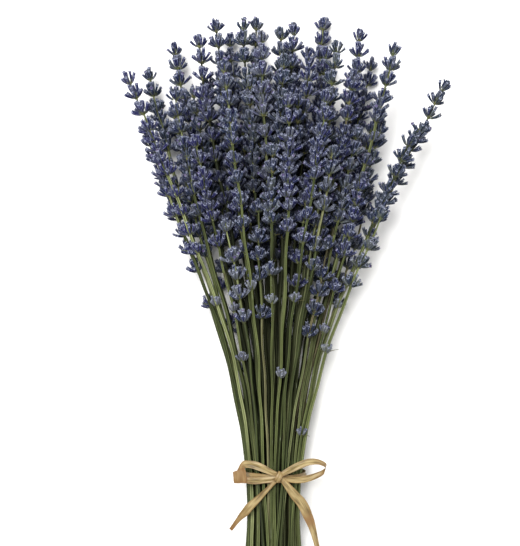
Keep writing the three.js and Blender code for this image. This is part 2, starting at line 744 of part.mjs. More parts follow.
// One loose end of the bow. It stays flat side up and bends down past the side of the bunch.
function tailSolid(knot, route) {
  const places = route.map(([x, y]) => new THREE.Vector3(x, y, knot.z - TAIL_DROOP * (x - knot.x) ** 2));
  return ribbonSolid(
    places.map((at, index) => {
      const way = places[Math.min(index + 1, places.length - 1)].clone().sub(places[Math.max(index - 1, 0)]);
      return { at, across: new THREE.Vector3(-way.y, way.x, 0).normalize(), width: route[index][2] };
    }),
  );
}

// The bow on top of the band: a knot, two loops and two loose ends.
function bowSolids() {
  const knot = new THREE.Vector3(KNOT_X, KNOT_Y, 2 * BAND_MIDDLE + KNOT_RISE);
  const lump = new THREE.IcosahedronGeometry(1, 1).scale(...KNOT_HALF_SIZES);
  return [
    solidOf(lump.translate(knot.x, knot.y, knot.z)),
    loopSolid(knot, LEFT_LOOP),
    loopSolid(knot, RIGHT_LOOP),
    tailSolid(knot, LEFT_TAIL),
    tailSolid(knot, RIGHT_TAIL),
  ];
}

const sprigs = planSprigs();
sprigs.forEach(aimSprig);
springOut(sprigs);
sprigs.forEach((s) => {
  s.measures = headMeasures(s);
  s.baseY = s.tipY - s.measures.length;
});
settle(sprigs);
sprigs.forEach(turnStem);
sprigs.forEach(catchFloret);
bendClear(sprigs);

const bunch = new THREE.Group();
for (let spray = 0; spray < SPRAY_COUNT; spray += 1) {
  const members = sprigs.filter((s) => s.spray === spray);
  const number = String(spray + 1).padStart(2, "0");
  bunch.add(meshOf(`stems_${number}`, joined(members.map(stemSolid)), STEM_FINISH));
  bunch.add(meshOf(`heads_${number}`, joined(members.map((m) => headSolid(m, true))), FLORET_FINISH));
}
bunch.add(meshOf("raffia_tie", joined([bandSolid(), ...bowSolids()]), RAFFIA_FINISH));

// The origin is below the middle of the bunch, on the surface that it lies on.
const box = new THREE.Box3().setFromObject(bunch);
const middle = box.getCenter(new THREE.Vector3());
bunch.position.set(-middle.x, -middle.y, -box.min.z);

export default bunch;
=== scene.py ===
"""A bunch of dried lavender, tied with raffia and lying on a pale surface.

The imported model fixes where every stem, head and strip lies. This script gathers the sprigs by the same
rule, and dresses them: downy ribbed calyces in whorls, papery bracts, ridged square stalks and a creased bow
of raffia.
Lengths are millimetres until a piece is finished, and a finished piece is in metres in the model's frame.
"""

import json
import logging
import math
from dataclasses import dataclass, field
from enum import Enum, IntEnum
from functools import partial
from typing import Callable, ClassVar, Sequence

import bmesh
import bpy
import numpy as np
from mathutils import Matrix, Vector


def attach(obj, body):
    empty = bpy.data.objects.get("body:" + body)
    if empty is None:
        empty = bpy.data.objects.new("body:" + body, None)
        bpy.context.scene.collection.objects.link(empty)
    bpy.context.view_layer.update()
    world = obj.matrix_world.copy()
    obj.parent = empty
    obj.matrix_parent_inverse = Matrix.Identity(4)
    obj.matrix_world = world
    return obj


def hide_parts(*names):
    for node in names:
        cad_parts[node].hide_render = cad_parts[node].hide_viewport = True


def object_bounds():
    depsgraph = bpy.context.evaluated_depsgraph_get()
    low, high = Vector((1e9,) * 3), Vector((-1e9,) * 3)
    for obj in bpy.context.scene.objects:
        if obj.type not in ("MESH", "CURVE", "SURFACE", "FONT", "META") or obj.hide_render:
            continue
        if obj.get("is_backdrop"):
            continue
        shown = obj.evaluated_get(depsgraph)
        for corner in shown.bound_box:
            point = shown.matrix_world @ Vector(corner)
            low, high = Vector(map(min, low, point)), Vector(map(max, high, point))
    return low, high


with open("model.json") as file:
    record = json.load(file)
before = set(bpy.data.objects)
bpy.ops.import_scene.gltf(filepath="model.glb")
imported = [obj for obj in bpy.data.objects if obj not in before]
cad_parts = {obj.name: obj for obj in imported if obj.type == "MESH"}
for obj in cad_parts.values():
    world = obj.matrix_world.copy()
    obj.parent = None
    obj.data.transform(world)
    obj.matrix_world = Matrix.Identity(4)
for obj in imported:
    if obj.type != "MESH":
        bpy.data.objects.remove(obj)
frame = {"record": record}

CAD_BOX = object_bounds()
Pair = tuple[float, float]
Triple = tuple[float, float, float]
Shape = bmesh.types.BMesh
Node = bpy.types.Node
Socket = bpy.types.NodeSocket
Material = bpy.types.Material
METRES = 0.001  # in a millimetre
BAND_INSIDE = (21.4, 16.4)  # mm, half the width and half the height of the bunch inside the raffia
BAND_THICKNESS = 0.9  # mm
BAND_MIDDLE = BAND_INSIDE[1] + BAND_THICKNESS  # the height of its middle over the surface
TINY = 1e-9  # keeps a division by a distance safe
log = logging.getLogger("lavender")


class SeededDraw:
    """Even random numbers from 0 to 1 that are the same on every run."""

    WORD = 0xFFFFFFFF

    def __init__(self, seed: int) -> None:
        """Starts the sequence of a seed."""
        self.state = seed & self.WORD

    def __call__(self) -> float:
        """Returns the next number."""
        self.state = (self.state + 0x6D2B79F5) & self.WORD
        mixed = self.state
        mixed = ((mixed ^ (mixed >> 15)) * (mixed | 1)) & self.WORD
        mixed ^= (mixed + (mixed ^ (mixed >> 7)) * (mixed | 61)) & self.WORD
        return (mixed ^ (mixed >> 14)) / (self.WORD + 1)

    def between(self, low: float, high: float) -> float:
        """Returns the next number, from low to high."""
        return low + (high - low) * self()

    def around(self, reach: float) -> float:
        """Returns the next number, from minus to plus a reach."""
        return self.between(-reach, reach)


def unit(value: float) -> float:
    """Keeps a value from 0 to 1."""
    return min(1.0, max(0.0, value))


def smooth_through(keys: np.ndarray, values: np.ndarray, at: np.ndarray) -> np.ndarray:
    """Runs a smooth curve through rows of values.

    Args:
        keys: where along the curve each row belongs, rising.
        values: one row for each key.
        at: where the curve is wanted.

    Returns:
        One row for each place in `at`.
    """
    gaps = np.diff(keys)[:, None]
    rates = np.diff(values, axis=0) / gaps
    inner = (rates[:-1] * gaps[1:] + rates[1:] * gaps[:-1]) / (gaps[1:] + gaps[:-1])
    slopes = np.vstack([rates[:1], inner, rates[-1:]])
    span = np.clip(np.searchsorted(keys, at, side="right") - 1, 0, len(keys) - 2)
    width = gaps[span]
    t = (at[:, None] - keys[span][:, None]) / width
    start = (1 + 2 * t) * (1 - t) ** 2 * values[span] + t * (1 - t) ** 2 * width * slopes[span]
    end = t**2 * (3 - 2 * t) * values[span + 1] + t**2 * (t - 1) * width * slopes[span + 1]
    return start + end


@dataclass(frozen=True)
class Level:
    """The bunch's outline at a height along it, and how far its outermost sprigs flare out of it."""

    y: float
    half_width: float
    half_height: float
    middle: float
    flare: float


@dataclass
class Sprig:
    """One sprig: where it belongs in the bunch, and how its head is made up."""

    PROBE: ClassVar[float] = 2  # mm each way along the stalk, for its direction
    UNSHADED_BEYOND: ClassVar[float] = 0.86  # of the way out to the raffia: stalks beyond it get no painted shade
    SHADE_RUN: ClassVar[float] = 0.42  # over this share further in, their painted shade grows to full strength
    spray: int
    member: int
    side: float
    u: float
    v: float
    lean: float
    tip_y: float
    cut_y: float
    whorls: int
    remote: bool
    stretch: float
    spin: float
    # Found by the gathering: the whorls' places from the lowest one, and the stalk's line with its run
    bases: list[float] = field(default_factory=list)
    length: float = 0.0
    base_y: float = 0.0
    points: np.ndarray = field(default_factory=lambda: np.zeros((2, 3)))
    lengths: np.ndarray = field(default_factory=lambda: np.zeros(2))

    def at(self, distance: float) -> tuple[Vector, Vector]:
        """Finds a place on the stalk.

        Args:
            distance: along the stalk from its cut end.

        Returns:
            The place and the direction of growth there.
        """
        place, ahead, behind = (
            Vector([np.interp(distance + step, self.lengths, self.points[:, k]) for k in range(3)])
            for step in (0, self.PROBE, -self.PROBE)
        )
        return place, (ahead - behind).normalized()

    def distance_of(self, y: float) -> float:
        """Returns the distance along the stalk, from its cut end, of a height along the bunch."""
        return float(np.interp(y, self.points[:, 1], self.lengths))

    def outgrow(self, extra: float) -> None:
        """Lets the head grow on past its tip by some millimetres."""
        onward = self.points[-1] - self.points[-2]
        onward = onward / np.linalg.norm(onward) * extra
        self.points = np.vstack([self.points, self.points[-1] + onward])
        self.lengths = np.append(self.lengths, self.lengths[-1] + extra)
        self.bases.append(self.bases[-1] + extra)

    def depth(self) -> float:
        """Returns how deep inside the bunch the sprig stands at the tie, 0 at the outside and 1 well inside,
        as the strength of its painted shade.
        """
        place, _ = self.at(self.distance_of(0))
        out = math.hypot(place.x / BAND_INSIDE[0], (place.z - BAND_MIDDLE) / BAND_INSIDE[1])
        return unit((self.UNSHADED_BEYOND - out) / self.SHADE_RUN)


@dataclass
class Gathering:
    """Gathers the sprigs: each gets its place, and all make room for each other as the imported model's do.

    Lengths are millimetres, pushes and pulls are shares of what is missing, and u and v run from -1 to 1
    across the bunch, to the right and to the front.
    """

    seed: int = 26
    sprays: int = 25
    spray_size: int = 3
    stem_half: float = 2.2 / math.sqrt(2)
    stem_gap: float = 0.42
    cut_end_y: float = -88
    cut_end_scatter: float = 7
    pressed_span: float = 15
    pressed_pitch: float = 2.3
    pitches: tuple[float, ...] = (16.5, 14.2, 12.6, 11.4, 10.4)
    most_whorls: int = 6
    tip_rise: float = 9
    remote_pitch: float = 27
    remote_share: float = 0.28
    short_share: float = 0.34
    stretches: Pair = (0.93, 1.07)
    head_room: float = 6.4
    room_below: float = 2
    touch_pitch: float = 10.8
    levels: tuple[Level, ...] = (
        Level(-88, 19, 13.8, 17, 0),
        Level(0, 18.6, 13.4, 17.4, 0),
        Level(95, 38, 20, 24, 0),
        Level(170, 66, 26, 31, 2),
        Level(245, 92, 28, 35, 10),
        Level(330, 110, 27, 36, 44),
    )
    waist: int = 1
    side_sag: float = 0.6
    tip_top: float = 318
    side_drop: float = 44
    back_drop: float = 22
    front_drop: float = 68
    first_stagger: float = 2
    inner_stagger: float = 28
    outer_stagger: float = 47
    front_stagger: float = 14
    tip_scatter: float = 14
    upward_share: float = 0.3
    low_front_drop: float = 18
    on_top: float = 0.25
    turn_scatter: float = 0.15
    lean_scatter: float = 0.5
    least_spread: float = 3
    spread_growth: float = 0.045
    most_spread: float = 10
    # The side of each outermost spray, how far it springs out at the top, and how much lower its tips are
    strays: tuple[tuple[int, float, float], ...] = ((-1, -20, 6), (1, 34, 4))
    stray_start_y: float = 70
    stray_curve: float = 1.4
    stray_less: float = 0.3
    rounds: int = 1600
    sample_step: float = 10
    push_share: float = 0.13
    hold_share: float = 0.03
    hold_span: float = 0.8
    straighten_share: float = 0.06
    gather_share: float = 0.45
    measure_every: int = 20
    band_sides: int = 24
    band_margin: float = 0.85
    line_step: float = 2
    wave: float = 0.45  # how far a dry stalk wanders off its line
    wave_lengths: Pair = (52, 83)
    wave_run: float = 40  # over which the wander grows, away from the raffia

    def gather(self) -> list[Sprig]:
        """Returns the sprigs, each with its stalk's line from the cut end to the tip."""
        sprigs = self._plan()
        for sprig in sprigs:
            self._measure(sprig)
        aim = np.array([self._aim(s) for s in sprigs])
        self._spring_out(sprigs, aim)
        path = self._settle(sprigs, aim)
        for sprig, line in zip(sprigs, path):
            self._draw_stalk(sprig, line)
        return sprigs

    def _plan(self) -> list[Sprig]:
        """Returns the sprigs at the places where they belong before they make room for each other."""
        draw = SeededDraw(self.seed)
        golden = math.pi * (3 - math.sqrt(5))
        sprigs = []
        for spray in range(self.sprays):
            reach = math.sqrt((spray + 0.5) / self.sprays)
            even = spray * golden + draw.between(-self.turn_scatter, self.turn_scatter)
            turn = even + self.upward_share * math.cos(even)
            u, v = reach * math.cos(turn), reach * math.sin(turn)
            lean = turn + math.pi / 2 + draw.between(-self.lean_scatter, self.lean_scatter)
            order = 1 if draw() < 0.5 else -1
            face_drop = self.front_drop if v > 0 else self.back_drop
            pitch = self.inner_stagger + (self.outer_stagger - self.inner_stagger) * reach
            pitch -= self.front_stagger * max(0, v)
            for m in range(self.spray_size):
                last = m == self.spray_size - 1
                low = self.low_front_drop * draw() if last and v > self.on_top else 0
                scatter = draw.between(-0.5, 0.5) * self.tip_scatter
                drop = self.side_drop * u * u + face_drop * v * v + self.first_stagger + m * pitch + low
                whorls = self.most_whorls - (1 if draw() < self.short_share else 0)
                cut_y = self.cut_end_y + draw.between(-0.5, 0.5) * self.cut_end_scatter
                remote = draw() < self.remote_share
                stretch = draw.between(*self.stretches)
                spin = draw.between(0, 2 * math.pi)
                draw()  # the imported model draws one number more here
                side = (m - (self.spray_size - 1) / 2) * order
                tip_y = self.tip_top - drop + scatter
                sprigs.append(Sprig(spray, m, side, u, v, lean, tip_y, cut_y, whorls, remote, stretch, spin))
        return sprigs

    def _measure(self, sprig: Sprig) -> None:
        """Sets the distances of a head's whorls from its lowest one, and its length."""
        pitches = [p * sprig.stretch for p in self.pitches[self.most_whorls - sprig.whorls :]]
        if sprig.remote:
            pitches[0] = self.remote_pitch * sprig.stretch
        sprig.bases = [0.0, *np.cumsum(pitches).tolist()]
        sprig.length = sprig.bases[-1] + self.tip_rise
        sprig.base_y = sprig.tip_y - sprig.length

    def _aim(self, sprig: Sprig) -> list[list[float]]:
        """Returns where a sprig wants to be at each level, as x and z."""
        places = []
        for index, level in enumerate(self.levels):
            sag = 1 + self.side_sag * sprig.u**2 if index > self.waist and sprig.v < 0 else 1
            loose = min(self.most_spread, self.least_spread + self.spread_growth * level.y)
            spread = (self.pressed_pitch if index <= self.waist else loose) * sprig.side
            x = level.half_width * sprig.u + level.flare * sprig.u**5 + spread * math.cos(sprig.lean)
            z = level.middle + level.half_height * sprig.v * sag + spread * math.sin(sprig.lean)
            places.append([x, z])
        return places

    def _spring_out(self, sprigs: list[Sprig], aim: np.ndarray) -> None:
        """Lets the outermost spray on each side spring away from the rest."""
        top = self.levels[-1].y
        for side, shift, lower in self.strays:
            spray = max(sprigs, key=lambda s: s.u * side).spray
            for sprig, places in zip(sprigs, aim):
                if sprig.spray != spray:
                    continue
                share = 1 - self.stray_less * sprig.member
                sprig.tip_y -= lower
                for index, level in enumerate(self.levels):
                    rise = max(0.0, (level.y - self.stray_start_y) / (top - self.stray_start_y))
                    places[index, 0] += shift * share * rise**self.stray_curve

    def _bracket(self, y: np.ndarray) -> tuple[np.ndarray, np.ndarray]:
        """Returns the upper level beside each height, and how far the height is on the way to it."""
        ys = np.array([level.y for level in self.levels])
        upper = np.clip(np.searchsorted(ys, y), 1, len(ys) - 1)
        return upper, (y - ys[upper - 1]) / (ys[upper] - ys[upper - 1])

    @staticmethod
    def _between(
        path: np.ndarray, who: np.ndarray | slice, upper: np.ndarray, share: np.ndarray
    ) -> np.ndarray:
        """Returns where sprigs are between two levels, as x and z."""
        low = path[who, upper - 1]
        return low + (path[who, upper] - low) * share[:, None]

    def _head_base(self, sprig: Sprig, line: np.ndarray) -> float:
        """Returns the height of a sprig's lowest whorl, measured down its line from the tip."""
        y, left = sprig.tip_y, sprig.length
        while True:
            upper = int(self._bracket(np.array([y]))[0][0])
            low, high = self.levels[upper - 1].y, self.levels[upper].y
            run = (line[upper] - line[upper - 1]) / (high - low)
            slope = math.sqrt(1 + float(run @ run))
            room = (y - low) * slope
            if room >= left or upper == 1:
                return y - left / slope
            left -= room
            y = low

    def _settle(self, sprigs: list[Sprig], aim: np.ndarray) -> np.ndarray:
        """Pushes the sprigs apart until none crosses another, the surface below or the raffia.

        Args:
            sprigs: all sprigs, in order.
            aim: where each wants to be, sprig by level by x and z.

        Returns:
            Where each ends up, in the same form.
        """
        path = aim.copy()
        count, levels = len(sprigs), len(self.levels)
        samples = np.arange(self.cut_end_y, self.tip_top + self.sample_step + TINY, self.sample_step)
        upper, share = self._bracket(samples)
        weights = np.zeros((levels, len(samples)))
        weights[upper - 1, np.arange(len(samples))] = 1 - share
        weights[upper, np.arange(len(samples))] = share
        neighbours = [i for i in range(count - 1) if sprigs[i].spray == sprigs[i + 1].spray]
        near = np.zeros((count, count), bool)
        for i in neighbours:
            near[i, i + 1] = near[i + 1, i] = True
        pressed = near[:, :, None] & (np.abs(samples) < self.pressed_span)[None, None, :]
        tips = np.array([s.tip_y for s in sprigs])[:, None]
        slim = self.stem_half + self.stem_gap / 2
        for turn in range(self.rounds):
            if turn % self.measure_every == 0:
                for sprig, line in zip(sprigs, path):
                    sprig.base_y = self._head_base(sprig, line)
                bases = np.array([s.base_y for s in sprigs])[:, None]
                rooms = np.where(samples > bases - self.room_below, self.head_room, slim)
                rooms = np.where(samples > tips + self.sample_step / 2, 0, rooms)
                heads = rooms == self.head_room
                need = rooms[:, None] + rooms[None, :]
                need = np.where(near[:, :, None] & heads[:, None] & heads[None, :], self.touch_pitch, need)
                need = np.where(pressed & (need < self.head_room), self.pressed_pitch, need)
                need[(rooms[:, None] == 0) | (rooms[None, :] == 0)] = 0
                need[np.arange(count), np.arange(count)] = 0
            hold = self.hold_share * max(0, 1 - turn / (self.hold_span * self.rounds))
            x, z = np.moveaxis(self._between(path, slice(None), upper, share), 2, 0)
            dx = x[None] - x[:, None]
            dz = z[None] - z[:, None]
            apart = np.sqrt(dx * dx + dz * dz) + TINY
            move = np.where(apart < need, self.push_share * (need - apart) / 2 / apart, 0)
            push_x = -(dx * move).sum(axis=1)
            push_z = -(dz * move).sum(axis=1)
            push_z += np.where(rooms > 0, 2 * self.push_share * np.maximum(0, rooms - z), 0)
            moves = np.stack([push_x @ weights.T, push_z @ weights.T], axis=2)
            self._draw_together(sprigs, path, neighbours, moves)
            bend = path - aim
            before = np.concatenate([bend[:, :1], bend[:, :-1]], axis=1)
            after = np.concatenate([bend[:, 1:], bend[:, -1:]], axis=1)
            path += moves + self.straighten_share * ((before + after) / 2 - bend) - hold * bend
            self._press_together(path)
        for sprig, line in zip(sprigs, path):
            sprig.base_y = self._head_base(sprig, line)
        return path

    def _draw_together(
        self, sprigs: list[Sprig], path: np.ndarray, neighbours: list[int], moves: np.ndarray
    ) -> None:
        """Adds to the moves a pull that keeps neighbours of a spray touching with their heads.

        Args:
            sprigs: all sprigs, in order.
            path: where each is.
            neighbours: the first sprig of each pair.
            moves: how far each is pushed, to which the pull is added.
        """
        first = np.array(neighbours)
        pairs = [(sprigs[i], sprigs[i + 1]) for i in neighbours]
        low = np.array([max(a.base_y, b.base_y) for a, b in pairs])
        high = np.array([min(a.tip_y, b.tip_y) for a, b in pairs])
        upper, share = self._bracket((low + high) / 2)
        part = share[:, None]
        way = self._between(path, first + 1, upper, share) - self._between(path, first, upper, share)
        apart = np.sqrt((way**2).sum(axis=1)) + TINY
        pull = self.gather_share * (self.touch_pitch - apart) / 2 / apart
        pull = np.where(apart > self.touch_pitch, pull, 0)
        step = way * pull[:, None]
        for sign, who in ((-1, first), (1, first + 1)):
            np.add.at(moves, (who, upper - 1), sign * step * (1 - part))
            np.add.at(moves, (who, upper), sign * step * part)

    def _press_together(self, path: np.ndarray) -> None:
        """Lays the stems of each spray in a row under the raffia, and inside it."""
        rows = path[:, self.waist].reshape(self.sprays, self.spray_size, 2)
        centre = rows.mean(axis=1, keepdims=True)
        along = rows[:, -1:] - rows[:, :1]
        along = along / (np.sqrt((along**2).sum(axis=2, keepdims=True)) + TINY)
        offsets = (np.arange(self.spray_size) - (self.spray_size - 1) / 2) * self.pressed_pitch
        row = centre + offsets[None, :, None] * along
        margin = self.stem_half + self.band_margin
        margin += BAND_INSIDE[0] * (1 - math.cos(math.pi / self.band_sides))
        middle = np.array([0, BAND_MIDDLE])
        share = (row - middle) / (np.array(BAND_INSIDE) - margin)
        out = np.maximum(1, np.sqrt((share**2).sum(axis=2, keepdims=True)))
        shift = ((row - middle) / out + middle - row).sum(axis=1, keepdims=True)
        path[:, self.waist] = (row + shift).reshape(-1, 2)

    def _draw_stalk(self, sprig: Sprig, line: np.ndarray) -> None:
        """Sets the smooth line of a stalk, which wanders a little as it dries, but not under the raffia."""
        keys = np.array([level.y for level in self.levels])
        ys = np.linspace(sprig.cut_y, sprig.tip_y, int((sprig.tip_y - sprig.cut_y) / self.line_step))
        places = smooth_through(keys, line, ys)
        loose = np.clip((np.abs(ys) - self.pressed_span) / self.wave_run, 0, 1) * self.wave
        for column, wave_length in enumerate(self.wave_lengths):
            phase = sprig.spin * (column + 1)
            places[:, column] += loose * np.sin(2 * math.pi * ys / wave_length + phase)
        sprig.points = np.column_stack([places[:, 0], ys, places[:, 1]])
        steps = np.sqrt((np.diff(sprig.points, axis=0) ** 2).sum(axis=1))
        sprig.lengths = np.concatenate([[0], np.cumsum(steps)])


# Materials


def linear(code: str) -> tuple[float, float, float, float]:
    """Turns an sRGB hex colour into linear red, green, blue and alpha."""
    channels = [int(code[k : k + 2], 16) / 255 for k in (1, 3, 5)]
    red, green, blue = (c / 12.92 if c <= 0.04045 else ((c + 0.055) / 1.055) ** 2.4 for c in channels)
    return red, green, blue, 1.0


Adder = Callable[..., Node]  # add_node with its tree filled in
Ramp = tuple[tuple[float, str], ...]  # places and sRGB colours


def add_node(
    tree: bpy.types.NodeTree, kind: str, *values: object, sockets: dict | None = None, stops: Ramp = (),
    **settings: object,
) -> Node:
    """Adds a node with its settings and links.

    Args:
        tree: the node tree of a material.
        kind: the node's type.
        values: for its sockets in use, in order: a number, an sRGB colour, an output, or a node for its
            first output.
        sockets: the same by the name of the socket.
        stops: of its colour ramp.
        settings: its properties.

    Returns:
        The node.
    """
    made = tree.nodes.new(f"ShaderNode{kind}")
    for name, value in settings.items():
        setattr(made, name, value)
    if stops:
        ramp = made.color_ramp.elements
        while len(ramp) < len(stops):
            ramp.new(1)
        for stop, (place, colour) in zip(ramp, stops):
            stop.position = place
            stop.color = linear(colour)
    in_use = [socket for socket in made.inputs if socket.enabled]
    named = [(made.inputs[name], value) for name, value in (sockets or {}).items()]
    for socket, value in [*zip(in_use, values), *named]:
        if isinstance(value, Node):
            value = next(output for output in value.outputs if output.enabled)
        if isinstance(value, Socket):
            tree.links.new(value, socket)
        else:
            socket.default_value = linear(value) if isinstance(value, str) else value
    return made


def channels(add: Adder, attribute: str) -> list[Socket]:
    """Returns the three channels of a piece's own attribute."""
    return list(add("SeparateColor", add("Attribute", attribute_name=attribute)).outputs)[:3]


def layered(add: Adder, colour: Node | str, layers: Sequence[tuple[object, Node | str]]) -> Node:
    """Lays other colours over a colour.

    Args:
        add: adds a node to the material.
        colour: the lowest one.
        layers: the share of each, from 0 to 1, and its colour.

    Returns:
        The last node.
    """
    for share, over in layers:
        colour = add("Mix", share, colour, over, data_type="RGBA")
    return colour


@dataclass(frozen=True)
class Speckle:
    """A pattern from 0 to 1 in the piece's own space."""

    size_mm: Triple  # how coarse it is each way
    low: float = 0.4  # the noise that counts as 0
    high: float = 0.6  # and as 1
    detail: float = 2

    def add_to(self, add: Adder) -> Node:
        """Adds the pattern's nodes and returns the last one."""
        scale = Vector([1 / (METRES * size) for size in self.size_mm])
        placed = add("Mapping", add("TexCoord").outputs["Object"], sockets={"Scale": scale})
        return add("MapRange", add("TexNoise", placed, 1.0, self.detail), self.low, self.high)


@dataclass(frozen=True)
class Finish:
    """What every finish has: a name and the constant settings of its shader."""

    name: str = "finish"
    roughness: float = 0.85
    sheen: float = 0.0
    sheen_roughness: float = 0.45
    sheen_tint: str = "#ffffff"
    specular: float = 0.3
    relief_mm: float = 0.1

    def material(self) -> Material:
        """Returns the finish as a new material."""
        made = bpy.data.materials.new(self.name)
        made.use_nodes = True
        made.node_tree.nodes.clear()
        add = partial(add_node, made.node_tree)
        colour, height = self.pattern(add)
        relief = {"Height": height, "Distance": self.relief_mm * METRES, "Strength": 1.0}
        shader = {
            "Base Color": colour,
            "Roughness": self.roughness,
            "Specular IOR Level": self.specular,
            "Sheen Weight": self.sheen,
            "Sheen Roughness": self.sheen_roughness,
            "Sheen Tint": self.sheen_tint,
            "Normal": add("Bump", sockets=relief),
        }
        add("OutputMaterial", add("BsdfPrincipled", sockets=shader))
        return made

    def pattern(self, add: Adder) -> tuple[Node, Node]:
        """Adds and returns the nodes of its colour and of its relief."""
        raise NotImplementedError


@dataclass(frozen=True)
class DownyCalyx(Finish):
    """Dried lavender calyx: blue-violet and ribbed, with pale down on the ribs that frosts it from afar. Its
    darker valleys and paler ridges are partly its own ribbing and partly painted shade and highlight. The
    pale down on crests and rims is partly real down and partly painted highlight where grazing light would
    catch it. Its mouth and the calyces deep inside the bunch get painted shade.
    """

    name: str = "dried_calyx"
    roughness: float = 0.9
    sheen: float = 0.14
    sheen_roughness: float = 0.3
    sheen_tint: str = "#b9bfdc"
    specular: float = 0.1
    relief_mm: float = 0.06
    # darker valleys and paler ridges: partly the calyx's own ribbing, partly painted shade and highlight
    valleys: Ramp = (
        (0.0, "#0f1030"), (0.3, "#10142b"), (0.6, "#111826"), (0.85, "#161e22"), (1.0, "#1c211d"),
    )
    ridges: Ramp = (
        (0.0, "#393970"), (0.3, "#363d66"), (0.6, "#39455f"), (0.85, "#445059"), (1.0, "#4e564e"),
    )
    foot: str = "#676d4c"
    # pale down, partly real and partly painted highlight on crests and rims
    down: str = "#c0c6e0"
    # painted shade: near-black in the open mouth, and over calyces deep inside the bunch
    mouth: str = "#080a13"
    faded: str = "#7f827c"
    green_foot: Pair = (0.4, 0.1)  # shares of its length, from its own colour to the foot's
    crest: Pair = (0.72, 1.0)  # how near to a rib's top the down and its painted highlight are
    rim: Pair = (0.9, 0.99)  # and how near to the mouth
    downy_from: Pair = (0.05, 0.17)  # m along the bunch: the upper whorls are downier
    downy_share: Pair = (0.8, 1.15)
    inner_painted_shade: float = 0.75  # painted shade: how much darker a calyx is well inside the bunch
    mottle: Speckle = Speckle((0.7, 0.7, 0.7), 0.3, 0.6)
    frost: Speckle = Speckle((0.4, 1.2, 0.4), 0.46, 0.68)
    fibres: Speckle = Speckle((0.18, 0.18, 0.18), detail=1)

    def pattern(self, add: Adder) -> tuple[Node, Node]:
        """Adds and returns the nodes of its colour and of its relief."""
        along, rib, mouth_shade = channels(add, "form")
        # deep: the strength of the painted shade inside the bunch
        tone, age, deep = channels(add, "mood")
        mottle = self.mottle.add_to(add)
        height = add("SeparateXYZ", add("TexCoord").outputs["Object"]).outputs["Y"]
        upper = add("MapRange", height, *self.downy_from, *self.downy_share)
        frost = add("Math", self.frost.add_to(add), upper, operation="MULTIPLY")
        ribs = add("Math", add("MapRange", rib, *self.crest), frost, operation="MULTIPLY")
        rims = add("Math", add("MapRange", along, *self.rim), mottle, operation="MULTIPLY")
        layers = (
            (add("Math", rib, mottle, operation="MULTIPLY"), add("ValToRGB", tone, stops=self.ridges)),
            (age, self.faded),
            (add("MapRange", along, *self.green_foot), self.foot),
            # pale down with painted highlight on crests and rims
            (add("Math", ribs, rims, operation="MAXIMUM"), self.down),
            # painted shade in the open mouth
            (mouth_shade, self.mouth),
            # painted shade deep inside the bunch
            (add("Math", deep, self.inner_painted_shade, operation="MULTIPLY"), self.mouth),
        )
        return layered(add, add("ValToRGB", tone, stops=self.valleys), layers), self.fibres.add_to(add)


@dataclass(frozen=True)
class DryTissue(Finish):
    """Thin dry tissue, uneven in colour along its veins."""

    colours: Ramp = ((0.0, "#4a3f68"), (0.5, "#77709a"), (1.0, "#8d7f78"))
    veins: Speckle = Speckle((0.5, 0.5, 0.5))

    def pattern(self, add: Adder) -> tuple[Node, Node]:
        """Adds and returns the nodes of its colour and of its relief."""
        veins = self.veins.add_to(add)
        share = add("Math", channels(add, "mood")[0], veins, operation="MULTIPLY")
        return add("ValToRGB", share, stops=self.colours), veins


@dataclass(frozen=True)
class WitheredPetal(DryTissue):
    """Withered corolla: crumpled, papery and violet-brown."""

    name: str = "withered_petal"


@dataclass(frozen=True)
class PaperyBract(DryTissue):
    """Bract or tiny leaf: dry and papery, olive with brown edges."""

    name: str = "papery_bract"
    roughness: float = 0.75
    colours: Ramp = ((0.0, "#5b6440"), (0.5, "#7d7d4e"), (1.0, "#8a7350"))
    veins: Speckle = Speckle((0.4, 1.6, 0.4))


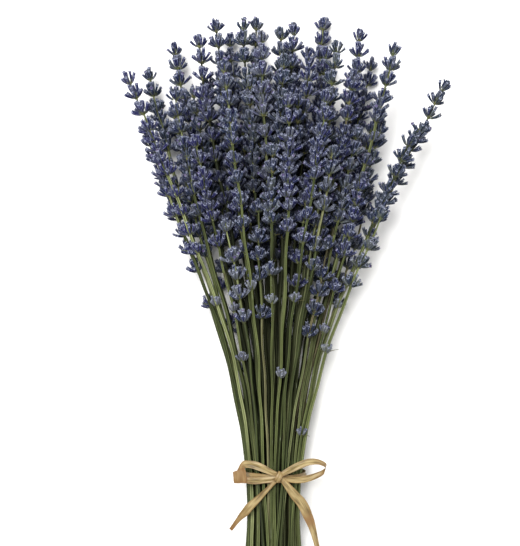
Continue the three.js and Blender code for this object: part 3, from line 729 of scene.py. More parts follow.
@dataclass(frozen=True)
class DryStalk(Finish):
    """Dried square stalk: dull olive green, paler along its four ridges, with brown stretches. Its near-black
    grooves are partly painted shade, and stalks deep inside the bunch get painted shade.
    """

    name: str = "dry_stalk"
    roughness: float = 0.6
    specular: float = 0.14
    # grooves: olive darkened toward near-black, partly painted shade in the grooves and the gaps between
    # stalks
    grooves: Ramp = ((0.0, "#0f1306"), (0.45, "#1c220c"), (0.85, "#343b18"), (1.0, "#2e2918"))
    ridges: Ramp = ((0.0, "#505a35"), (0.45, "#7a8350"), (0.85, "#a9b07c"), (1.0, "#8f8464"))
    scorched: str = "#40372a"
    bloom: str = "#8e957a"
    # painted shade for stalks deep inside the bunch
    shaded: str = "#0b0d05"
    pith: str = "#8d8560"
    cut_mm: float = 0.4  # how far the pale cut reaches up the sides
    inner_painted_shade: float = 0.85  # painted shade: how much darker a stalk is well inside the bunch
    pale_groove: float = 0.1  # the ridges' share of a groove's colour
    streaks: Pair = (50, 1.0)  # mm long, and how much they change from groove to ridge
    fibres: Pair = (7, 4.0)
    own_place: float = 90.0  # sets the streaks of one stalk apart from another's
    noise_range: Pair = (0.3, 0.6)
    patches: Speckle = Speckle((3, 34, 3), 0.66, 0.8)
    pale: Speckle = Speckle((0.9, 16, 0.9), 0.68, 0.8)

    def pattern(self, add: Adder) -> tuple[Node, Node]:
        """Adds and returns the nodes of its colour and of its relief."""
        ridge, tone, run = channels(add, "form")
        # deep: the strength of the painted shade inside the bunch
        deep = channels(add, "mood")[2]
        places = (run, ridge, tone)
        streaks, fibres = (self.lengthwise(add, places, *size) for size in (self.streaks, self.fibres))
        share = add("Math", ridge, streaks, self.pale_groove, operation="MULTIPLY_ADD")
        layers = (
            (share, add("ValToRGB", tone, stops=self.ridges)),
            (self.patches.add_to(add), self.scorched),
            (self.pale.add_to(add), self.bloom),
            # painted shade deep inside the bunch
            (add("Math", deep, self.inner_painted_shade, operation="MULTIPLY"), self.shaded),
            (add("MapRange", run, self.cut_mm * METRES, 0.0), self.pith),
        )
        return layered(add, add("ValToRGB", tone, stops=self.grooves), layers), fibres

    def lengthwise(
        self, add: Adder, places: Sequence[Socket], length_mm: float, sideways: float
    ) -> Node:
        """Adds a pattern from 0 to 1 that is drawn out along a stalk, and differs from stalk to stalk.

        Args:
            add: adds a node to the material.
            places: how far along the stalk, how near a ridge, and the stalk's own tone.
            length_mm: of its streaks.
            sideways: how much it changes from groove to ridge.

        Returns:
            The pattern's last node.
        """
        scales = (1 / (length_mm * METRES), sideways, self.own_place)
        parts = [add("Math", place, scale, operation="MULTIPLY") for place, scale in zip(places, scales)]
        return add("MapRange", add("TexNoise", add("CombineXYZ", *parts), 1.0, 2.0), *self.noise_range)


@dataclass(frozen=True)
class Raffia(Finish):
    """Raffia: a torn strip of palm leaf, tan and faintly glossy, with lengthwise fibres, browner worn edges,
    and browner places that are partly a real stain and partly painted shade at folds, creases and the knot.
    """

    name: str = "raffia_strip"
    roughness: float = 0.5
    sheen: float = 0.05
    sheen_tint: str = "#f0e0b8"
    specular: float = 0.4
    relief_mm: float = 0.09
    colours: Ramp = ((0.0, "#5c4c2d"), (0.3, "#7b6942"), (0.62, "#958258"), (1.0, "#ac9b70"))
    # a real stain on worn edges, and painted shade at folds, creases and the knot
    stain_and_shade: str = "#76542f"
    fibre_mm: Pair = (30, 0.28)  # as long and as coarse as they need to show
    band_mm: Pair = (12, 2)  # of the broad uneven bands
    fibre_share: float = 0.45  # of the fibres, added to the bands
    noise_range: Pair = (0.53, 0.94)
    worn_edge: Pair = (0.62, 1.0)  # shares of half the width

    def pattern(self, add: Adder) -> tuple[Node, Node]:
        """Adds and returns the nodes of its colour and of its relief."""
        strip = add("UVMap", uv_map="strip")
        noises = []
        for length, width in (self.fibre_mm, self.band_mm):
            scale = (1 / (length * METRES), 1 / (width * METRES), 1)
            noises.append(add("TexNoise", add("Mapping", strip, sockets={"Scale": scale}), 1.0, 2.0))
        fibres, bands = noises
        # crease: the strip's browner share, partly a real stain and partly painted shade
        crease, edge, _ = channels(add, "form")
        both = add("Math", fibres, self.fibre_share, bands, operation="MULTIPLY_ADD")
        colour = add("ValToRGB", add("MapRange", both, *self.noise_range), stops=self.colours)
        worn = add("Math", add("MapRange", edge, *self.worn_edge), bands, operation="MULTIPLY")
        return layered(add, colour, ((worn, self.stain_and_shade), (crease, self.stain_and_shade))), fibres


@dataclass(frozen=True)
class PaleFloor(Finish):
    """Matt white paper backdrop."""

    name: str = "pale_paper"
    roughness: float = 0.9
    specular: float = 0.1
    relief_mm: float = 0.02
    low: str = "#f4f3f1"
    high: str = "#f8f7f6"
    grain: Speckle = Speckle((40, 40, 40))

    def pattern(self, add: Adder) -> tuple[Node, Node]:
        """Adds and returns the nodes of its colour and of its relief."""
        grain = self.grain.add_to(add)
        return layered(add, self.low, ((grain, self.high),)), grain


# Shapes that repeat


WELD = 1e-4  # mm. Corners nearer than this are one
PRESSED = 0.6  # mm. What would reach lower is pressed flat between here and the surface


def to_mesh(name: str, made: Shape) -> bpy.types.Mesh:
    """Turns a shape into a mesh, and frees the shape."""
    mesh = bpy.data.meshes.new(name)
    made.to_mesh(mesh)
    made.free()
    return mesh


def put(name: str, data: bpy.types.ID) -> bpy.types.Object:
    """Puts a mesh, a light or a camera into the scene."""
    thing = bpy.data.objects.new(name, data)
    bpy.context.scene.collection.objects.link(thing)
    return thing


def lathe(profile: Sequence[Pair], sides: int) -> Shape:
    """Turns an outline round the Z axis into a closed shape.

    Args:
        profile: radius and height of each corner, from the bottom pole to the top one.
        sides: how many faces go round it.

    Returns:
        The shape, with its poles merged.
    """
    made = bmesh.new()
    corners = [made.verts.new((radius, 0, height)) for radius, height in profile]
    edges = [made.edges.new(pair) for pair in zip(corners, corners[1:])]
    turn = {"cent": (0, 0, 0), "axis": (0, 0, 1), "angle": 2 * math.pi, "steps": sides, "use_merge": True}
    bmesh.ops.spin(made, geom=corners + edges, **turn)
    bmesh.ops.remove_doubles(made, verts=made.verts, dist=WELD)
    bmesh.ops.recalc_face_normals(made, faces=made.faces)
    return made


@dataclass
class Template:
    """A small shape of which many copies are made, with the form channels of each of its corners."""

    PLAIN: ClassVar[Triple] = (0.5, 0.5, 0.0)  # where no material reads them
    mesh: bpy.types.Mesh
    form: np.ndarray

    @classmethod
    def from_bmesh(
        cls, name: str, made: Shape, slot: int, form: Sequence[Triple] = ()
    ) -> "Template":
        """Keeps a finished shape as a template.

        Args:
            name: of its mesh.
            made: the shape, which is freed.
            slot: which of the piece's materials it has.
            form: the form channels of each corner, where the material reads them.

        Returns:
            The template.
        """
        for face in made.faces:
            face.smooth = True
            face.material_index = slot
        mesh = to_mesh(name, made)
        rows = form or [cls.PLAIN] * len(mesh.vertices)
        return cls(mesh, np.array([[*row, 1.0] for row in rows]))


class Cluster:
    """Collects copies of templates, and keeps what each copy's colour depends on."""

    def __init__(self) -> None:
        """Starts an empty cluster."""
        self.mesh = bmesh.new()
        # strength of the painted shade for the next copies, deep inside the bunch
        self.depth = 0.0
        self.forms: list[np.ndarray] = []
        self.moods: list[np.ndarray] = []

    def add(self, template: Template, place: Matrix, tone: float, age: float) -> None:
        """Adds a copy of a template.

        Args:
            template: the shape.
            place: the copy's transform.
            tone: of its colour, from 0 to 1.
            age: how much it has faded, from 0 to 1.
        """
        copy = template.mesh.copy()
        copy.transform(place)
        self.mesh.from_mesh(copy)
        bpy.data.meshes.remove(copy)
        self.forms.append(template.form)
        # the mood's third channel carries the painted shade
        self.moods.append(np.tile([tone, age, self.depth, 1.0], (len(template.form), 1)))

    def add_stalk(self, made: Shape, form: np.ndarray) -> None:
        """Adds a stalk, which carries its tone in its form channels."""
        shape = to_mesh("shape", made)
        self.add(Template(shape, form), Matrix(), 0.5, 0)
        bpy.data.meshes.remove(shape)

    def finish(self, name: str, materials: Sequence[Material], shift: Vector, slot: str, node: str) -> None:
        """Finishes the cluster as one piece, as finish_piece says."""
        channels = {"form": np.vstack(self.forms), "mood": np.vstack(self.moods)}
        finish_piece(name, self.mesh, materials, shift, [node], channels)


def finish_piece(
    name: str, made: Shape, materials: Sequence[Material], shift: Vector,
    nodes: Sequence[str], channels: dict[str, np.ndarray],
) -> None:
    """Turns a shape in millimetres into a finished piece in the model's frame.

    Args:
        name: of the piece.
        made: the shape, which is freed.
        materials: its materials, in the order of its faces' slots.
        shift: from the gathering's origin to the frame's, in metres.
        nodes: the model's nodes that it stands for.
        channels: attributes of its corners, four numbers each.
    """
    for corner in made.verts:
        if corner.co.z < PRESSED:
            corner.co.z = PRESSED * math.exp(corner.co.z / PRESSED - 1)
    mesh = to_mesh(name, made)
    for attribute, values in channels.items():
        mesh.attributes.new(attribute, "FLOAT_COLOR", "POINT").data.foreach_set("color", values.ravel())
    mesh.transform(Matrix.Translation(shift) @ Matrix.Scale(METRES, 4))
    for material in materials:
        mesh.materials.append(material)
    piece = put(name, mesh)
    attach(piece, "root")
    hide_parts(*nodes)
    log.info("%s: %d triangles", name, sum(len(p.vertices) - 2 for p in mesh.polygons))


def axes_of(direction: Vector) -> tuple[Vector, Vector]:
    """Returns two axes across a direction of growth, the first one nearest to X."""
    first = Vector((1, 0, 0))
    first = (first - direction * first.dot(direction)).normalized()
    return first, direction.cross(first)


def growing(place: Vector, direction: Vector, roll: float, size: float) -> Matrix:
    """Stands a template at a place.

    Args:
        place: of its foot.
        direction: of its growth.
        roll: round that direction, in radians.
        size: how much larger than the template it is.

    Returns:
        The transform.
    """
    first, second = axes_of(direction)
    turned = first * math.cos(roll) + second * math.sin(roll)
    rows = Matrix((turned, direction.cross(turned), direction)).transposed()
    return Matrix.LocRotScale(place, rows, Vector((size, size, size)))


def sweep(
    across: int, along: int, place: Callable[[float, float], Vector], closed: bool, thickness: float = 0
) -> Shape:
    """Lays a grid along a path.

    Args:
        across: how many faces it is wide, or how many go round it.
        along: how many faces it is long.
        place: gives the place of a corner from its shares across and along, 0 to 1.
        closed: whether the grid closes on itself across, with its ends filled.
        thickness: of the sheet, where it isn't closed.

    Returns:
        The closed shape.
    """
    made = bmesh.new()
    bmesh.ops.create_grid(made, x_segments=across, y_segments=along, size=1)
    for corner in made.verts:
        corner.co = place((corner.co.x + 1) / 2, (corner.co.y + 1) / 2)
    if closed:
        bmesh.ops.remove_doubles(made, verts=made.verts, dist=WELD)
        bmesh.ops.holes_fill(made, edges=[e for e in made.edges if e.is_boundary], sides=0)
    else:
        bmesh.ops.solidify(made, geom=made.faces, thickness=thickness)
    bmesh.ops.recalc_face_normals(made, faces=made.faces)
    for face in made.faces:
        face.smooth = True
    return made


# The lavender


class Dress(IntEnum):
    """The materials of a head, in the order of their slots."""

    CALYX = 0
    PETAL = 1
    BRACT = 2
    STALK = 3


class CalyxForm(Enum):
    """How a calyx has dried."""

    OPEN = "open"
    NARROW = "narrow"
    BUD = "bud"


@dataclass
class FloretShapes:
    """The small shapes of a whorl, at their real size."""

    ribs: int = 8  # ridges and grooves together
    groove_depth: float = 0.24
    tooth: float = 0.4
    notch: float = 1.5  # how far the rim sinks between two teeth, in teeth
    rim: float = 0.1  # what stands less than this below the top belongs to the rim
    pole: float = 0.3  # what is nearer than this to the axis is a pole
    bend: float = 1.4  # how far a calyx's mouth turns back towards the spike's tip
    profiles: dict[CalyxForm, tuple[Pair, ...]] = field(
        default_factory=lambda: {
            CalyxForm.OPEN: ((0, 0), (0.66, 1.6), (0.9, 4.2), (1.14, 6.7), (0, 5.0)),
            CalyxForm.NARROW: ((0, 0), (0.62, 1.8), (0.84, 4.4), (0.78, 6.4), (0, 5.4)),
            CalyxForm.BUD: ((0, 0), (0.66, 1.5), (0.8, 3.2), (0.5, 4.9), (0, 5.6)),
        }
    )
    petal_profile: tuple[Pair, ...] = ((0, 0), (0.45, 0.2), (0.55, 1.4), (1.15, 2.4), (0, 1.5))
    petal_lobes: int = 6
    crumple_from: float = 1.6
    crumple: Pair = (0.5, 0.25)  # of every second lobe, and of every third one
    # Length, half width, curl and faces along it
    bract: tuple[float, float, float, int] = (3.6, 1.4, 0.25, 3)
    leaf: tuple[float, float, float, int] = (9.5, 0.8, 0.35, 6)
    blade_thickness: float = 0.14
    blade_foot: float = 0.25  # how far along its outline's swell a blade starts
    blade_tip: float = 0.08  # of its half width
    blade_swell: float = 0.8
    blade_cup: float = 0.35

    def calyx(self, kind: CalyxForm) -> Template:
        """Returns a ribbed tube that widens to a toothed mouth and turns up, or a closed bud."""
        profile = self.profiles[kind]
        made = lathe(profile, self.ribs)
        top = max(height for _, height in profile)
        form = []
        for corner in made.verts:
            place = corner.co
            radius = math.hypot(place.x, place.y)
            groove = round(math.atan2(place.y, place.x) / (2 * math.pi / self.ribs)) % 2
            # the third form channel marks the centre of an open mouth, where the material paints shade
            inside = kind is not CalyxForm.BUD and radius < self.pole and place.z > top / 2
            form.append((min(1.0, place.z / top), 1.0 - groove, float(inside)))
            if radius > self.pole and groove:
                place.x *= 1 - self.groove_depth
                place.y *= 1 - self.groove_depth
            if kind is not CalyxForm.BUD and radius > self.pole and place.z > top - self.rim:
                place.z += self.tooth * (1 - self.notch * groove)
            place.x += self.bend * (place.z / top) ** 2
        return Template.from_bmesh(f"calyx_{kind.value}", made, Dress.CALYX, form)

    def petal(self) -> Template:
        """Returns a crumpled corolla that hangs out of a calyx."""
        made = lathe(self.petal_profile, self.petal_lobes)
        second, third = self.crumple
        for corner in made.verts:
            turn = round(math.atan2(corner.co.y, corner.co.x) / (2 * math.pi / self.petal_lobes))
            if corner.co.z > self.crumple_from:
                corner.co.z += second * (turn % 2) - third * (turn % 3)
                corner.co.x *= 1 - third + third * (turn % 3)
        return Template.from_bmesh("petal", made, Dress.PETAL)

    def blade(self, name: str, length: float, half: float, curl: float, steps: int) -> Template:
        """Returns a pointed leaf that grows up along Z and leans out along X.

        Args:
            name: of its mesh.
            length: from its foot to its tip.
            half: half its width.
            curl: how far its tip leans out, as a share of its length.
            steps: how many faces it is long.
        """

        def place(s: float, t: float) -> Vector:
            """Returns the place of a corner of the blade."""
            swell = math.sin(math.pi * min(1.0, self.blade_foot + (1 - self.blade_foot) * t))
            width = half * max(self.blade_tip, swell**self.blade_swell)
            out = 2 * s - 1
            lean = curl * length * t * t - self.blade_cup * half * out * out
            return Vector((lean, out * width, length * t))

        made = sweep(2, steps, place, closed=False, thickness=self.blade_thickness)
        return Template.from_bmesh(name, made, Dress.BRACT)

    def templates(self) -> dict[str, Template]:
        """Returns all the small shapes by name."""
        made = {kind.value: self.calyx(kind) for kind in CalyxForm}
        made["petal"] = self.petal()
        made["bract"] = self.blade("bract", *self.bract)
        made["leaf"] = self.blade("leaf", *self.leaf)
        return made


@dataclass(frozen=True)
class Whorl:
    """Where a whorl sits on its sprig, how large and how many its calyces are, and how faded."""

    distance: float
    size: float
    fullness: float
    age: float = 0.0


@dataclass
class Spikes:
    """The flower heads of the sprays: whorls of calyces round thin ridged rachises."""

    shapes: dict[str, Template]
    materials: list[Material]
    seed: int = 7
    # Calyces of a full whorl: first those that spread wide, then those that stand up inside them
    calyces: tuple[int, int] = (9, 6)
    leans: tuple[Pair, ...] = ((42, 78), (8, 38))  # degrees from the rachis
    rises: Pair = (0.4, 2.0)  # of their roots along the rachis
    rise_scatter: Pair = (-0.5, 0.7)
    turn_scatter: float = 0.3  # of the way from one to the next
    roll_scatter: float = 0.5
    calyx_length: float = 6.7
    sizes: Pair = (1.02, 1.26)
    open_share: float = 0.58  # of the calyces of a whorl of full size
    bud_from: float = 0.88
    tones: Pair = (0, 0.66)  # of a whole head
    ages: Pair = (-0.3, 0.2)
    tone_scatter: float = 0.22  # of a calyx
    age_scatter: float = 0.2
    weathered: Pair = (120, 0.35)  # a head this far to the right is this much further on in tone
    tip_buds: int = 3
    tip_bud_rise: float = 5
    tip_bud_leans: Pair = (0.1, 0.35)  # of the first, and of the others
    tip_bud_rolls: Pair = (0, 6)
    tip_bud_sizes: Pair = (0.75, 0.9)
    petal_place: Triple = (1.0, 0, 5.3)  # in its calyx
    petal_size: float = 0.8
    bracts: int = 3
    bract_scatter: float = 0.2
    bract_drop: float = 0.2
    bract_leans: Pair = (0.6, 1.4)  # which way it grows, and which way it faces
    bract_sizes: Pair = (0.9, 1.15)
    leaf_drop: float = 0.5
    leaf_leans: Pair = (0.5, 1.0)
    leaf_faces: float = 1.5
    leaf_sizes: Pair = (0.6, 1.0)
    pitch: float = 8.6  # whorls much wider apart than this have another one between them
    halved_share: float = 0.5  # and this share of the wide gaps above a whorl that stands alone
    tip_whorl: Pair = (0.9, 0.8)  # size and fullness
    loose_below: float = 172  # down from here, whorls of the dense part are at least the next number apart
    loose_pitch: float = 11.5
    skirt_pitch: Pair = (12.5, 16.5)  # of the looser whorls below the dense part
    skirt_end: Pair = (136, 168)  # how far above the tie they stop
    skirt_size: float = 0.88
    front_stray: Triple = (0.72, 0.75, 0.4)  # size, fullness and age of a whorl that stands alone in front
    back_stray: Triple = (0.95, 1.0, 0.0)  # and behind
    sparse_beyond: float = 118  # a sprig whose tip reaches further to the right is thin and has no skirt
    sparse_size: float = 0.84
    # Where they stand: to the right of the tie and along the bunch
    front_strays: tuple[Pair, ...] = (
        (-38.8, 118.3), (-26.5, 114.2), (-13.6, 129.2), (-1, 119.7), (11.6, 121), (40.8, 116.3), (33.3, 99.3),
        (35.4, 85.7), (-20.4, 80.2), (1.4, 69.4), (19, 28.6),
    )
    back_strays: tuple[Pair, ...] = (
        (-30, 104), (-8, 112), (9, 88), (27, 108), (-18, 71), (-36, 128), (-28, 141), (-22, 122), (-14, 147),
        (-4, 136), (4, 151), (12, 139), (18, 126), (24, 149), (33, 138), (40, 151), (-9, 161), (31, 162),
        (-20, 98), (15, 104), (-3, 96), (36, 124),
    )
    stray_reach: float = 2.5
    tallest: tuple[Pair, ...] = ((25.2, 14), (36, 20), (52, 5))  # where heads outgrow the rest, and how far
    tall_reach: float = 5.0
    root_radius: float = 0.9
    rachis_radii: Pair = (1.0, 0.55)
    rachis_overlap: float = 0.1  # into the stalk
    rachis_rise: float = 6  # above the topmost whorl
    rachis_step: float = 5
    rachis_least_steps: int = 4
    petal_share: float = 0.14
    leaf_share: float = 0.4
    inner_painted_shade: Pair = (200, 268)  # between these heights, the painted shade of whorls deep inside fades out
    floor_gap: float = 0.3

    def build_all(self, sprigs: list[Sprig], sprays: int, shift: Vector) -> None:
        """Makes the heads of each spray as one piece. A few outgrow the rest.

        Args:
            sprigs: of the bunch.
            sprays: how many there are.
            shift: from the gathering's origin to the frame's, in metres.
        """
        for x, extra in self.tallest:
            near = [sprig for sprig in sprigs if abs(sprig.points[-1][0] - x) < self.tall_reach]
            max(near, key=lambda sprig: sprig.points[-1][1]).outgrow(extra)
        strays = self._choose_strays(sprigs)
        for spray in range(sprays):
            draw = SeededDraw(self.seed * 1000 + spray)
            cluster = Cluster()
            for index, sprig in enumerate(sprigs):
                if sprig.spray == spray:
                    self._head(cluster, sprig, strays.get(index, []), draw)
            number = f"{spray + 1:02d}"
            cluster.finish(f"spikes_{number}", self.materials, shift, "floret", f"heads_{number}")

    def _choose_strays(self, sprigs: list[Sprig]) -> dict[int, list[Whorl]]:
        """Returns, for each sprig that has any, its whorls that stand alone low down."""
        chosen: dict[int, list[Whorl]] = {}
        sides = ((self.front_strays, 1, self.front_stray), (self.back_strays, -1, self.back_stray))
        for spots, side, (size, fullness, age) in sides:
            for x, y in spots:
                near = []
                for index, sprig in enumerate(sprigs):
                    place, _ = sprig.at(sprig.distance_of(y))
                    if abs(place.x - x) < self.stray_reach and sprig.base_y > y:
                        near.append((side * place.z, index))
                if near:
                    index = max(near)[1]
                    whorl = Whorl(sprigs[index].distance_of(y), size, fullness, age)
                    chosen.setdefault(index, []).append(whorl)
        return chosen

    def _plan(self, sprig: Sprig, strays: list[Whorl], draw: SeededDraw) -> list[Whorl]:
        """Lays out the whorls of a sprig.

        Args:
            sprig: that they grow on.
            strays: its whorls that stand alone low down.
            draw: the spray's random numbers.

        Returns:
            The whorls from the tip down, the strays last.
        """
        start = sprig.distance_of(sprig.base_y)
        places = [start + sprig.bases[-1]]
        for low, high in reversed(list(zip(sprig.bases, sprig.bases[1:]))):
            alone = sprig.remote and low == 0
            parts = 1 + (draw() < self.halved_share) if alone else max(1, round((high - low) / self.pitch))
            places += [start + high - (high - low) * (k + 1) / parts for k in range(parts)]
        sparse = sprig.points[-1][0] > self.sparse_beyond
        usual = self.sparse_size if sparse else 1.0
        loose = [places[0]]
        for place in places[1:]:
            if sprig.at(place)[0].y > self.loose_below or loose[-1] - place > self.loose_pitch:
                loose.append(place)
        size, fullness = self.tip_whorl
        rows = [Whorl(loose[0], size * usual, fullness * usual)]
        rows += [Whorl(place, usual, usual) for place in loose[1:]]
        end = math.inf if sparse else draw.between(*self.skirt_end)
        place = start - draw.between(*self.skirt_pitch)
        while sprig.at(place)[0].y > end:
            rows.append(Whorl(place, self.skirt_size, self.skirt_size))
            place -= draw.between(*self.skirt_pitch)
        return rows + strays

    def _head(self, cluster: Cluster, sprig: Sprig, strays: list[Whorl], draw: SeededDraw) -> None:
        """Adds one head: its rachis, its whorls and the buds at its tip.

        Args:
            cluster: that it is added to.
            sprig: whose head it is.
            strays: its whorls that stand alone low down.
            draw: the spray's random numbers.
        """
        # painted shade for the rachis, by how deep inside the bunch the sprig stands
        cluster.depth = sprig.depth()
        far, further_on = self.weathered
        tone = min(1.0, draw.between(*self.tones) + max(0.0, sprig.points[-1][0] / far) * further_on)
        age = max(0.0, draw.between(*self.ages))
        self._rachis(cluster, sprig, draw)
        rows = self._plan(sprig, strays, draw)
        low, high = self.inner_painted_shade
        for row in rows:
            # a whorl's painted shade fades as it rises between these heights
            unshaded = (sprig.at(row.distance)[0].y - low) / (high - low)
            cluster.depth = sprig.depth() * unit(1 - unshaded)
            self._whorl(cluster, sprig, row, (tone, age + row.age), draw)
        if draw() < self.leaf_share:
            self._leaves(cluster, sprig, rows[-1].distance, draw)
        place, direction = sprig.at(rows[0].distance + self.tip_bud_rise)
        for k in range(self.tip_buds):
            turn = 2 * math.pi * k / self.tip_buds + draw.between(0, 1)
            way = self._leaning(direction, self.tip_bud_leans[k > 0], turn)
            bud = growing(place, way, draw.between(*self.tip_bud_rolls), draw.between(*self.tip_bud_sizes))
            cluster.add(self.shapes["bud"], bud, tone, age)

    @staticmethod
    def _leaning(direction: Vector, lean: float, turn: float) -> Vector:
        """Returns a direction that leans away from another by an angle, towards a side."""
        first, second = axes_of(direction)
        out = first * math.cos(turn) + second * math.sin(turn)
        return (direction * math.cos(lean) + out * math.sin(lean)).normalized()

    def _whorl(self, cluster: Cluster, sprig: Sprig, row: Whorl, mood: Pair, draw: SeededDraw) -> None:
        """Adds one whorl: two tiers of calyces, some with a withered corolla, over its bracts.

        Args:
            cluster: that it is added to.
            sprig: that it grows on.
            row: its place, size and fullness.
            mood: the tone and age of the head.
            draw: the spray's random numbers.
        """
        place, direction = sprig.at(row.distance)
        spin = draw.between(0, 2 * math.pi)
        counts = [round(count * row.fullness) for count in self.calyces]
        for k in range(sum(counts)):
            inner = k >= counts[0]
            turn = spin + 2 * math.pi * (k + draw.around(self.turn_scatter) + 0.5 * inner) / counts[inner]
            lean = math.radians(draw.between(*self.leans[inner])) * row.fullness
            way = self._leaning(direction, lean, turn)
            rise = self.rises[inner] + draw.between(*self.rise_scatter)
            out = (way - direction * way.dot(direction)).normalized()
            root = place + direction * rise * row.size + out * self.root_radius
            grown = row.size * draw.between(*self.sizes)
            reach = self.calyx_length * grown
            lowest = self.floor_gap + grown - root.z
            if way.z * reach < lowest:
                way = Vector((way.x, way.y, max(way.z, lowest / reach))).normalized()
            kind = self._calyx_kind(draw, row.size)
            tone = unit(mood[0] + draw.around(self.tone_scatter))
            age = unit(mood[1] + draw.around(self.age_scatter))
            stand = self._facing(growing(root, way, 0, grown), direction, draw.around(self.roll_scatter))
            cluster.add(self.shapes[kind.value], stand, tone, age)
            if kind is CalyxForm.OPEN and draw() < self.petal_share:
                mouth = stand @ Matrix.Translation(self.petal_place) @ Matrix.Scale(self.petal_size, 4)
                cluster.add(self.shapes["petal"], mouth, draw(), age)
        bracts = round(self.bracts * row.fullness)
        for k in range(bracts):
            turn = spin + 2 * math.pi * (k + draw.around(self.bract_scatter)) / bracts
            way, face = (self._leaning(direction, lean, turn) for lean in self.bract_leans)
            size = row.size * draw.between(*self.bract_sizes)
            foot = growing(place - direction * self.bract_drop, way, 0, size)
            cluster.add(self.shapes["bract"], self._facing(foot, face), draw(), 0)

    @staticmethod
    def _facing(place: Matrix, way: Vector, more: float = 0.0) -> Matrix:
        """Returns a transform rolled about its own Z until its X axis faces a direction, and some more."""
        local = place.to_3x3().inverted() @ way
        return place @ Matrix.Rotation(math.atan2(local.y, local.x) + more, 4, "Z")

    def _calyx_kind(self, draw: SeededDraw, size: float) -> CalyxForm:
        """Draws how a calyx has dried: fewer have opened towards the tip."""
        drawn = draw()
        if drawn < self.open_share * size:
            return CalyxForm.OPEN
        return CalyxForm.NARROW if drawn < self.bud_from else CalyxForm.BUD

    def _leaves(self, cluster: Cluster, sprig: Sprig, distance: float, draw: SeededDraw) -> None:
        """Adds a pair of tiny dry leaves under the lowest whorl.

        Args:
            cluster: that they are added to.
            sprig: that they grow on.
            distance: of the whorl along the sprig.
            draw: the spray's random numbers.
        """
        place, direction = sprig.at(distance - self.leaf_drop)
        turn = draw.between(0, 2 * math.pi)
        for side in (turn, turn + math.pi):
            way = self._leaning(direction, draw.between(*self.leaf_leans), side)
            foot = growing(place, way, 0, draw.between(*self.leaf_sizes))
            stand = self._facing(foot, self._leaning(direction, self.leaf_faces, side))
            cluster.add(self.shapes["leaf"], stand, draw(), 0)

    def _rachis(self, cluster: Cluster, sprig: Sprig, draw: SeededDraw) -> None:
        """Adds the thin stalk that carries the whorls."""
        start = sprig.distance_of(sprig.base_y)
        end = start + sprig.bases[-1] + self.rachis_rise
        steps = max(self.rachis_least_steps, int((end - start) / self.rachis_step))
        made = stalk_shape(sprig, start - self.rachis_overlap, end, self.rachis_radii, steps)
        for face in made.faces:
            face.material_index = Dress.STALK
        cluster.add_stalk(made, stalk_form(made, sprig, draw()))


STALK_SIDES = 8  # four ridges and four grooves
STALK_GROOVE = 0.68  # of the distance from the middle to a ridge


def stalk_shape(sprig: Sprig, start: float, end: float, radii: Pair, steps: int) -> Shape:
    """Makes a ridged square stalk along a stretch of a sprig.

    Args:
        sprig: whose line it follows.
        start: where it begins, along the line.
        end: where it ends.
        radii: from its middle to its ridges, at each end.
        steps: how many faces it is long.

    Returns:
        The closed shape.
    """

    def place(s: float, t: float) -> Vector:
        """Returns the place of a corner of the stalk."""
        middle, direction = sprig.at(start + (end - start) * t)
        first, second = axes_of(direction)
        corner = round(s * STALK_SIDES) % STALK_SIDES
        radius = radii[0] + (radii[1] - radii[0]) * t
        if corner % 2:
            radius *= STALK_GROOVE
        angle = sprig.spin + 2 * math.pi * corner / STALK_SIDES
        return middle + first * radius * math.cos(angle) + second * radius * math.sin(angle)

    return sweep(STALK_SIDES, steps, place, closed=True)


def stalk_form(made: Shape, sprig: Sprig, tone: float) -> np.ndarray:
    """Returns the form channels of a stalk: 1 on a ridge and 0 in a groove, its tone, and metres along it."""
    made.verts.index_update()
    form = np.ones((len(made.verts), 4))
    form[:, 1] = tone
    for corner in made.verts:
        distance = sprig.distance_of(corner.co.y)
        middle, direction = sprig.at(distance)
        first, second = axes_of(direction)
        out = corner.co - middle
        angle = math.atan2(out.dot(second), out.dot(first)) - sprig.spin
        form[corner.index, 0] = float(round(angle / (2 * math.pi / STALK_SIDES)) % 2 == 0)
        form[corner.index, 2] = distance * METRES
    return form


